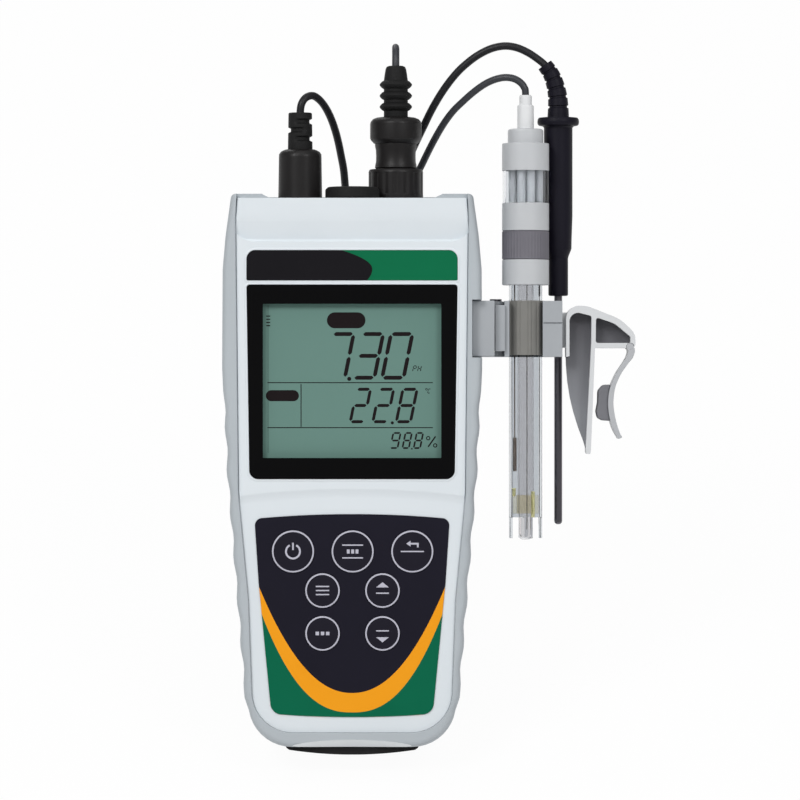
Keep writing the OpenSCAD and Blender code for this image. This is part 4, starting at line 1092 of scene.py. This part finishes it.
def make_temperature_plug():
    """The round plug at the left, with eight shallow grip hollows, and its staggered relief."""
    top = CASE_TOP

    def gripped(angle, u):
        return 1 - 0.03 * (0.5 + 0.5 * math.cos(8 * angle)) * (top + 1.4 < u < top + 15)

    plug = form("temperature_plug_body", turned(TEMPERATURE_AXIS, raised(top, [
        (3.5, -7), (3.5, 0.2), (7.3, 0.25), (7.65, 0.6), (7.65, 14.6), (7.4, 15.7), (6.8, 16.6), (5.9, 17.1),
        (5.1, 17.4),
    ]), 56, shape=gripped))
    fit(plug, "meter", [BLACK], "black_plastic", "temperature_plug")

    def staggered(angle, u):
        """Grooves that take turns on the left and the right of the relief."""
        step = (u - top - 18.6) / 1.5
        grooved = int(step) % 2 and step > 0 and u < top + 28.5
        side = math.cos(angle) * (1 if int(step) % 4 < 2 else -1)
        return 1 - (0.22 if grooved else 0) * max(0, min(1, side * 3 + 1.4))

    heights = [17.4, 18.3] + [18.6 + 0.5 * k for k in range(20)] + [28.8, 29.9, 30.2]
    relief = form("temperature_plug_boot", turned(TEMPERATURE_AXIS, raised(top, [
        (4.3 - 0.2 * (h - heights[0]) / 12.8 - (0.3 if h == heights[-1] else 0), h) for h in heights
    ]), 40, shape=staggered))
    fit(relief, "meter", [BLACK_RUBBER], "black_plastic", "temperature_plug_relief")


def make_jack_cap():
    """The low dust cap over the middle socket."""
    cap = form("jack_cap", turned(CAP_AXIS, raised(CASE_TOP, [
        (4.52, -6), (4.52, 0.2), (9.1, 0.22), (9.4, 0.5), (9.4, 2.9), (9.2, 3.4), (8.5, 4), (8.2, 4.1),
        (7.4, 3.9), (0, 3.9),
    ]), 64))
    fit(cap, "cap", [BLACK_RUBBER], "black_rubber", "dust_cap")


def make_signal_plug():
    """The bayonet plug of the electrode's lead: barrel, fluted collar, back shell and relief."""
    top = CASE_TOP
    barrel = form("signal_plug_barrel", turned(SIGNAL_AXIS, raised(top, [
        (4, -1.5), (4, 11), (7, 11), (7.3, 11.3), (7.2, 12.4), (6.95, 13.4), (6.9, 15.4), (7, 17.5),
        (7.3, 18.8), (7.3, 19.6), (3.5, 19.6),
    ]), 56))
    fit(barrel, "meter", [BLACK], "black_plastic", "signal_plug")

    flutes = 16

    def fluted(angle, u):
        depth = 0.022 * max(0, math.cos(flutes * angle)) ** 0.6
        return 1 - (depth if top + 2 < u < top + 9.5 else 0)

    collar = form("signal_collar_nut", turned(SIGNAL_AXIS, raised(top, [
        (8.9, 0.2), (9.4, 0.5), (9.55, 1), (9.55, 1.9), (9.55, 2.1), (9.55, 9.4), (9.55, 9.6), (9.4, 10.3),
        (9, 10.7), (8.2, 10.8), (7.6, 10.8), (7.6, 8.8), (7.9, 8.8), (7.9, 0.2),
    ]), 8 * flutes, shape=fluted, closed=True))
    fit(collar, "collar", [BLACK], "black_plastic", "signal_collar")

    backshell = form("signal_plug_back", turned(SIGNAL_AXIS, raised(top, [
        (7.3, 19.6), (7.7, 19.8), (8.7, 20.9), (9, 21.6), (9, 26.6), (8.8, 27.4), (8, 28.3), (6.8, 28.8),
        (4.6, 29.1),
    ]), 56))
    fit(backshell, "meter", [BLACK], "black_plastic", "signal_backshell")

    bead = [(4.2, -1.5), (4.9, -1.1), (5.5, -0.45), (5.7, 0), (5.5, 0.45), (4.9, 1.1), (4.2, 1.5)]
    profile = raised(top, [(4.2, 29.1), (4.2, 30.9)])
    for k in range(3):
        profile += raised(top + 32.6 + 3.85 * k, bead)
    profile += raised(top, [(4.15, 42.2), (3.9, 44), (3.6, 45.8), (3.2, 46.6), (2.5, 46.9)])
    fit(form("signal_plug_boot", turned(SIGNAL_AXIS, profile)), "meter", [BLACK_RUBBER],
        "black_plastic", "signal_relief")


make_temperature_plug()
make_jack_cap()
make_signal_plug()

# ---- electrode ----------------------------------------------------------------


def make_electrode_top():
    """The electrode's cable neck, its stepped cap and the clear window below that."""
    neck = span("electrode_neck")[0].z
    fit(form("electrode_cable_neck", turned(ELECTRODE_AXIS, [
        (2.9, neck),
        *raised(NECK_TOP, [(2.9, -4), (2.75, -3.6), (2.2, -3.4), (2.2, -0.4), (1.9, 0), (1.6, 0)]),
        (1.6, neck),
    ], 32, closed=True)), "electrode", [WHITE], "white_plastic", "electrode_neck")

    low, high = (corner.z for corner in span("electrode_cap"))
    fit(form("electrode_top_cap", turned(ELECTRODE_AXIS, [
        (7.85, low), (8.2, low + 0.3), *raised(high - 5, [(8.2, -0.4), (8.05, -0.1), (7.7, 0), (6.2, 0.05)]),
        *raised(high, [(6.2, -0.8), (6, -0.3), (5.5, 0), (2.95, 0)]), (2.95, low),
    ], closed=True)), "electrode", [HEAD], "white_plastic", "electrode_cap")

    low, high = (corner.z for corner in span("electrode_window"))
    fit(form("electrode_view_window", turned(ELECTRODE_AXIS, [
        (8, low), (8, high), (7, high), (7, low),
    ], closed=True)), "electrode", [CLEAR], "clear_plastic", "electrode_window")


# Posts that show through the window, measured from the electrode's axis.
POSTS = [(-4.4, -1), (-1.5, -4), (1.7, -3.8), (4.6, -0.8), (0, 3)]


def beside(axis, x, v):
    """An upright axis moved to the right and to the back."""
    return (axis[0] + x, axis[1] + v)


def make_electrode_head(foot):
    """The three bands of the head, the posts between the upper two, and the refill ring."""
    view_low, view_high = (corner.z for corner in span("electrode_window"))
    ring_low, ring_high = (corner.z for corner in span("refill_ring"))
    cap_low = span("electrode_cap")[0].z
    head_low, head_high = span("electrode_head")
    r = (head_high.x - head_low.x) / 2
    inner, lip = 4.2, 0.35

    def band(low, high):
        return turned(ELECTRODE_AXIS, [
            (r - lip, low), (r - 0.08, low + 0.12), (r, low + lip), (r, high - lip), (r - 0.08, high - 0.12),
            (r - lip, high), (inner, high), (inner, low),
        ], 56, closed=True)

    sleeve = turned(ELECTRODE_AXIS, [
        (6.1, ring_low - 0.2), (6.1, ring_high + 0.2), (inner, ring_high + 0.2), (inner, ring_low - 0.2),
    ], 40, closed=True)
    posts = [turned(beside(ELECTRODE_AXIS, x, v), [(1.5, view_low - 0.5), (1.5, view_high + 0.5)], 20)
             for x, v in POSTS]
    fit(form("electrode_head_body", band(foot, ring_low), band(ring_high, view_low), band(view_high, cap_low),
             sleeve, *posts), "electrode", [HEAD], "white_plastic", "electrode_head")

    knurls = 44

    def knurled(angle, u):
        depth = 0.028 * (0.5 + 0.5 * math.cos(knurls * angle))
        return 1 - (depth if ring_low + 0.8 < u < ring_high - 0.8 else 0)

    fit(form("refill_ring_grip", turned(ELECTRODE_AXIS, [
        *raised(ring_low, [(r - 0.3, 0.05), (r, 0.3), (r, 0.9)]),
        *raised(ring_high, [(r, -0.9), (r, -0.3), (r - 0.3, -0.05), (6.3, -0.05)]), (6.3, ring_low + 0.05),
    ], 4 * knurls, shape=knurled, closed=True)), "ring", [RING], "grey_plastic", "refill_ring")


# Wicks through the seal: x and v from the electrode's axis, and heights above its tip.
WICKS = [(-4, -0.9, 14.6, 17.4), (2.4, -3.3, 7.3, 16.3)]


def make_electrode_core(tip, head):
    """What the clear tube holds: glass stem and bulb, seal, reference, wicks and silver wire."""
    stem = turned(ELECTRODE_AXIS, [
        *raised(tip, [(0, -0.6), (1.3, -0.5), (2, -0.1), (2.4, 0.8), (2.5, 2), (2.5, 7.6), (2.9, 9)]),
        (2.9, head), (2.3, head), *raised(tip, [(2.3, 9), (2, 7.6), (2, 1.6), (1.4, 0.4), (0, 0)]),
    ], 32)
    seal = turned(ELECTRODE_AXIS, raised(tip, [(3, 8.6), (4.6, 8.6), (4.6, 15), (3, 15)]), 32,
                  closed=True, coat=1)
    fit(form("electrode_glass_stem", stem, seal), "electrode", [BULB, SEAL], "bulb_glass", "electrode_core")

    at = middle("reference_element")
    fit(form("electrode_reference",
             turned(at, raised(tip, [(0.65, 23.3), (0.7, 23.7), (0.7, 34.6), (0.65, 35)]), 16),
             turned(at, [(0.22, tip + 35), (0.22, head)], 12)),
        "electrode", [BROWN], "brown_element", "reference_element")
    fit(form("electrode_wicks", *[
        turned(beside(ELECTRODE_AXIS, x, v), raised(tip, [(0.6, low), (0.6, high)]), 12)
        for x, v, low, high in WICKS
    ]), "electrode", [WICK], "brown_element")
    fit(form("electrode_inner_wire",
             turned(beside(ELECTRODE_AXIS, 0.5, 0), [(0.2, tip + 3), (0.2, head)], 12)),
        "electrode", [NICKEL], "spring_steel")


ELECTRODE_TIP = span("electrode_tube")[0].z
HEAD_FOOT = ELECTRODE_TIP + 88.1
make_electrode_top()
make_electrode_head(HEAD_FOOT)
make_electrode_core(ELECTRODE_TIP, HEAD_FOOT)

# ---- temperature probe ---------------------------------------------------------


def make_probe():
    """The probe's moulded handle, its bent relief and its steel rod."""
    low, high = span("probe_handle")
    axis = PROBE_AXIS
    fit(form("probe_grip", turned(axis, [
        *raised(low.z, [(2.9, 0), (3.3, 0.15), (3.45, 0.5), (3.45, 13), (3.6, 13.8), (4.4, 15.8),
                        (4.65, 16.5), (4.72, 20), (5, 28)]),
        *raised(high.z, [(5, -3.6), (5.4, -3.1), (6.8, -2.8), (7.2, -2.3), (7.3, -1.6), (7.2, -0.7),
                         (6.8, -0.1), (6, 0), (3, 0)]),
    ])), "probe", [HANDLE], "black_plastic", "probe_handle")

    route = smooth_path(RELIEF_ROUTE, 20)
    radii = []
    for k in range(len(route)):
        t = k / (len(route) - 1)
        notch = 0.13 if t * 6 % 1 < 0.22 and 0.1 < t < 0.95 else 0
        radii.append((3.8 - 1.1 * t) * (1 - notch))
    relief = form("probe_grip_boot", swept(route, radii, 28))
    relief = fit(relief, None, [HANDLE], "black_plastic", "probe_relief")
    METER @ Vector(RELIEF_ROUTE[1])
    METER @ Vector(RELIEF_ROUTE[-1])
    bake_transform(relief)

    rod_low, rod_high = span("probe_rod")
    rod = (rod_high.x - rod_low.x) / 2
    fit(form("probe_steel_rod", turned(axis, [
        (0, rod_low.z), (rod * 0.5, rod_low.z + 0.1), (rod * 0.86, rod_low.z + 0.5), (rod, rod_low.z + 1.2),
        (rod, rod_high.z - 1),
    ], 32)), "probe", [STEEL], "steel", "probe_rod")


make_probe()

# ---- clip and grip -----------------------------------------------------------------

CLIP_LOW, CLIP_HIGH = span("clip_arm")
CLIP_AT = (span("holder_frame")[1].x + 1, (HOLDER_LOW + HOLDER_TOP) / 2)
WEB_HALF = 1.04

# The arm's two edges, measured from where the clip hangs.
ARM_OUTER = [(24.1, -6.4), (24.2, -8), (23.4, -10.2), (21.7, -12.3), (19.3, -15.9), (17.5, -20.1),
             (16.8, -24.8), (17, -28.4), (17.8, -32.5), (19, -36.1), (19.9, -37.7)]
ARM_INNER = [(18.5, -38.3), (16.4, -34.3), (15.2, -29.6), (14.9, -24.8), (15.7, -20.1), (17.8, -15.3),
             (20.5, -11.2), (21.7, -8.7), (21.8, -6.8)]


def at_clip(points):
    """Outline points measured from where the clip hangs on its frame."""
    return [(CLIP_AT[0] + p[0], CLIP_AT[1] + p[1], *p[2:]) for p in points]


def arm_outline():
    """The springy arm: its outer edge down, and its inner edge back up."""
    sides = [[(p.x, p.y) for p in smooth_path([(*q, 0) for q in side], 5)] for side in (ARM_OUTER, ARM_INNER)]
    return at_clip(sides[0] + sides[1])


def make_clip():
    """The beaker clip: a rimmed hook with a set-back web, its springy arm and the arm's pad."""
    front, back = CLIP_LOW.y, CLIP_HIGH.y
    web = (front + back) / 2
    clip = form("beaker_clip_hook", plate(rounded(at_clip([
        (0.3, 8.2, 4.6), (7.6, 8, 9), (19.2, 3.4, 14), (24.4, -1.6, 5), (24.4, -6.1, 0.8), (21.9, -6.6, 0.3),
        (10.4, -6.6, 0.5), (8.9, -43.5, 0.7), (7.4, -43.5, 0.6), (7.2, -41.5, 0), (6.4, -38.8, 0),
        (4.7, -34.3, 0), (3, -28.8, 0), (1.8, -23.8, 0), (0.9, -18, 0), (0.45, -12.5, 0), (0.3, -8, 0),
    ]), 8), front, back))
    hollows = [
        [(1.5, 5.6, 3), (5, 5.6, 3), (9.2, 4.5, 0.8), (9.1, -5, 0), (7.3, -39, 0), (7, -50, 0), (-3, -50, 0),
         (-3, -10.5, 0), (1.5, -9.5, 0)],
        [(10.7, 4.1, 0.8), (17.2, 1.9, 8), (22.7, -2.7, 1.2), (22.7, -4.9, 0.7), (10.6, -4.9, 0.8)],
    ]
    for low, high in [(front - 1, web - WEB_HALF), (web + WEB_HALF, back + 1)]:
        cut(clip, *[plate(rounded(at_clip(hollow), 6), low, high) for hollow in hollows])
    cut(clip, plate(circle(1.4, 24, at_clip([(22.6, -6.2)])[0]), front - 1, back + 1))
    soften(clip, 0.35, 3, 30)
    rail_low = span("beaker_clip")[0]
    rail = form("rail", plate(bar(rail_low.x, CLIP_AT[0] + 1, CLIP_AT[1] - 6.5, CLIP_AT[1] + 5.7), 14, 18))
    marks = form("ejector marks", *[
        button(at_clip([place])[0], [(r, web), (r, web - WEB_HALF - 0.06), (r - 0.22, web - WEB_HALF - 0.06),
                                    (r - 0.22, web)], 28, closed=True)
        for place, r in [((4.4, -0.5), 1.5), ((4.4, -13.2), 1.4), ((4, -24), 1.5), ((14.7, -0.9), 1.4)]
    ])
    join(clip, rail, marks)
    fit(clip, "holder", [CLIP], "pale_grey_plastic", "beaker_clip")

    arm = form("beaker_clip_arm", plate(arm_outline(), front, back),
               button(at_clip([(22.6, -6.2)])[0], [(1.3, front), (1.3, back)], 28))
    soften(arm, 0.3, 2, 45)
    fit(arm, "arm", [ARM], "pale_grey_plastic", "clip_arm")

    pad = form("beaker_clip_pad", plate(rounded(at_clip([
        (15.8, -19.3, 0), (13.2, -19.4, 2), (11.5, -21.4, 2), (11.4, -25.5, 4), (10.8, -28.6, 2),
        (11.3, -30.9, 1.4), (12.9, -31.8, 1), (15.8, -32, 0), (15.2, -28, 0), (15, -24.8, 0),
    ]), 5), front + 1, back - 1))
    soften(pad, 0.6, 3, 40)
    fit(pad, "arm", [DARK_RUBBER], "dark_grey_rubber", "clip_pad")


def make_grip():
    """The soft sleeve in the holder, with shallow upright ribs."""
    low, high = span("electrode_grip")
    outer = (high.x - low.x) / 2
    inner = outer - 0.65

    def ribbed(angle, u):
        return 1 - (0.05 if math.cos(10 * angle + 1.2) < 0.6 else 0)

    fit(form("electrode_grip_sleeve", turned(ELECTRODE_AXIS, [
        (outer - 0.15, low.z), (outer, low.z + 0.3), (outer, high.z - 0.3), (outer - 0.15, high.z),
        (inner, high.z), (inner, low.z),
    ], 144, shape=ribbed, closed=True)), "holder", [GRIP], "dark_grey_rubber", "electrode_grip")


make_clip()
make_grip()

# ---- CAD pieces that are right as they are --------------------------------------

EDGES = {"holder_frame": 0.5, "holder_bracket": 0.9, "stand": 0.6,
         "rear_shell": 0.4, "stand_bracket": 0.5}


def dress(node, piece):
    """Gives a CAD piece its finish and takes the hard corner off its edges."""
    for hole in piece.material_slots:
        hole.material = COATS[hole.material.name.split(".")[0]]
    weld = piece.modifiers.new("weld", "WELD")
    weld.merge_threshold = 0.002 * MM
    bevel = piece.modifiers.new("soft edge", "BEVEL")
    bevel.width = EDGES.get(node, 0.15) * MM
    bevel.segments = 2
    bevel.limit_method = "ANGLE"
    bevel.angle_limit = math.radians(32)
    piece.modifiers.new("even shading", "WEIGHTED_NORMAL").keep_sharp = True


for node, piece in frame["nodes"].items():
    if not piece.hide_render:
        dress(node, piece)

# ---- floor, light and camera -----------------------------------------------------


FLOOR_HALF = 4
FLOOR_GLOW = 0.96


def either(tree, first, second):
    """The larger of two values."""
    return add(tree, "ShaderNodeMath", {0: first, 1: second}, operation="MAXIMUM").outputs[0]


def pale_stage():
    """A white floor that keeps a soft shadow and looks plain white in metal and glass."""
    material, tree, _ = empty_finish("white floor")
    rays = add(tree, "ShaderNodeLightPath").outputs
    seen = either(tree, rays["Is Camera Ray"], rays["Is Glossy Ray"])
    seen = either(tree, seen, rays["Is Transmission Ray"])
    share = add(tree, "ShaderNodeMath", {0: seen, 1: FLOOR_GLOW}, operation="MULTIPLY")
    matt = add(tree, "ShaderNodeBsdfDiffuse", {"Color": linear("#F2F2F2")})
    glow = add(tree, "ShaderNodeEmission", {"Color": (1, 1, 1, 1), "Strength": 1.0})
    mix = add(tree, "ShaderNodeMixShader", {0: share.outputs[0], 1: matt.outputs[0], 2: glow.outputs[0]})
    add(tree, "ShaderNodeOutputMaterial", {"Surface": mix.outputs[0]})
    mesh = bpy.data.meshes.new("floor")
    corners = [(x * FLOOR_HALF, y * FLOOR_HALF, 0) for x, y in [(-1, -1), (1, -1), (1, 1), (-1, 1)]]
    mesh.from_pydata(corners, [], [(0, 1, 2, 3)])
    mesh.materials.append(material)
    floor = bpy.data.objects.new("floor", mesh)
    bpy.context.scene.collection.objects.link(floor)


def sky():
    """A plain white surround that lights softly and is dimmer in reflections."""
    world = bpy.data.worlds.new("studio")
    bpy.context.scene.world = world
    world.use_nodes = True
    tree = world.node_tree
    tree.nodes.clear()
    rays = add(tree, "ShaderNodeLightPath").outputs
    seen = either(tree, rays["Is Camera Ray"], rays["Is Transmission Ray"])
    strength = add(tree, "ShaderNodeMapRange", {"Value": seen, "To Min": 0.34, "To Max": 1.0})
    glow = add(tree, "ShaderNodeBackground", {"Color": (1, 1, 1, 1), "Strength": strength.outputs[0]})
    add(tree, "ShaderNodeOutputWorld", {"Surface": glow.outputs[0]})


CENTRE = METER @ Vector((16.55, 0, 122.8))


def softbox(name, away, size, watts):
    """A square lamp some metres away from the object's middle, turned to face it."""
    lamp = bpy.data.lights.new(name, "AREA")
    lamp.size = size
    lamp.energy = watts
    holder = bpy.data.objects.new(name, lamp)
    holder.location = CENTRE + Vector(away)
    holder.rotation_euler = (-Vector(away)).to_track_quat("-Z", "Y").to_euler()
    bpy.context.scene.collection.objects.link(holder)


def camera():
    """A long lens square to the meter's face. 276 mm of the face fills the picture."""
    reach, width, sensor = 1.8, 0.276, 36
    lens = bpy.data.cameras.new("camera")
    lens.sensor_width = sensor
    lens.lens = sensor * reach / width
    lens.clip_start = 0.05
    holder = bpy.data.objects.new("camera", lens)
    turn = Matrix((RIGHT, UP, -DEEP)).transposed().to_4x4()
    holder.matrix_world = Matrix.Translation(CENTRE - DEEP * reach) @ turn
    bpy.context.scene.collection.objects.link(holder)
    bpy.context.scene.camera = holder


pale_stage()
sky()
softbox("left light", (-0.75, -0.85, 1.4), 0.6, 13.4)
softbox("right light", (0.85, -0.9, 1.3), 0.6, 7.8)
softbox("top light", (0.1, 0.2, 1.5), 0.9, 2.5)
softbox("back light", (-0.3, 1.3, 0.8), 0.8, 4)
camera()
bpy.context.scene.view_settings.view_transform = "Standard"
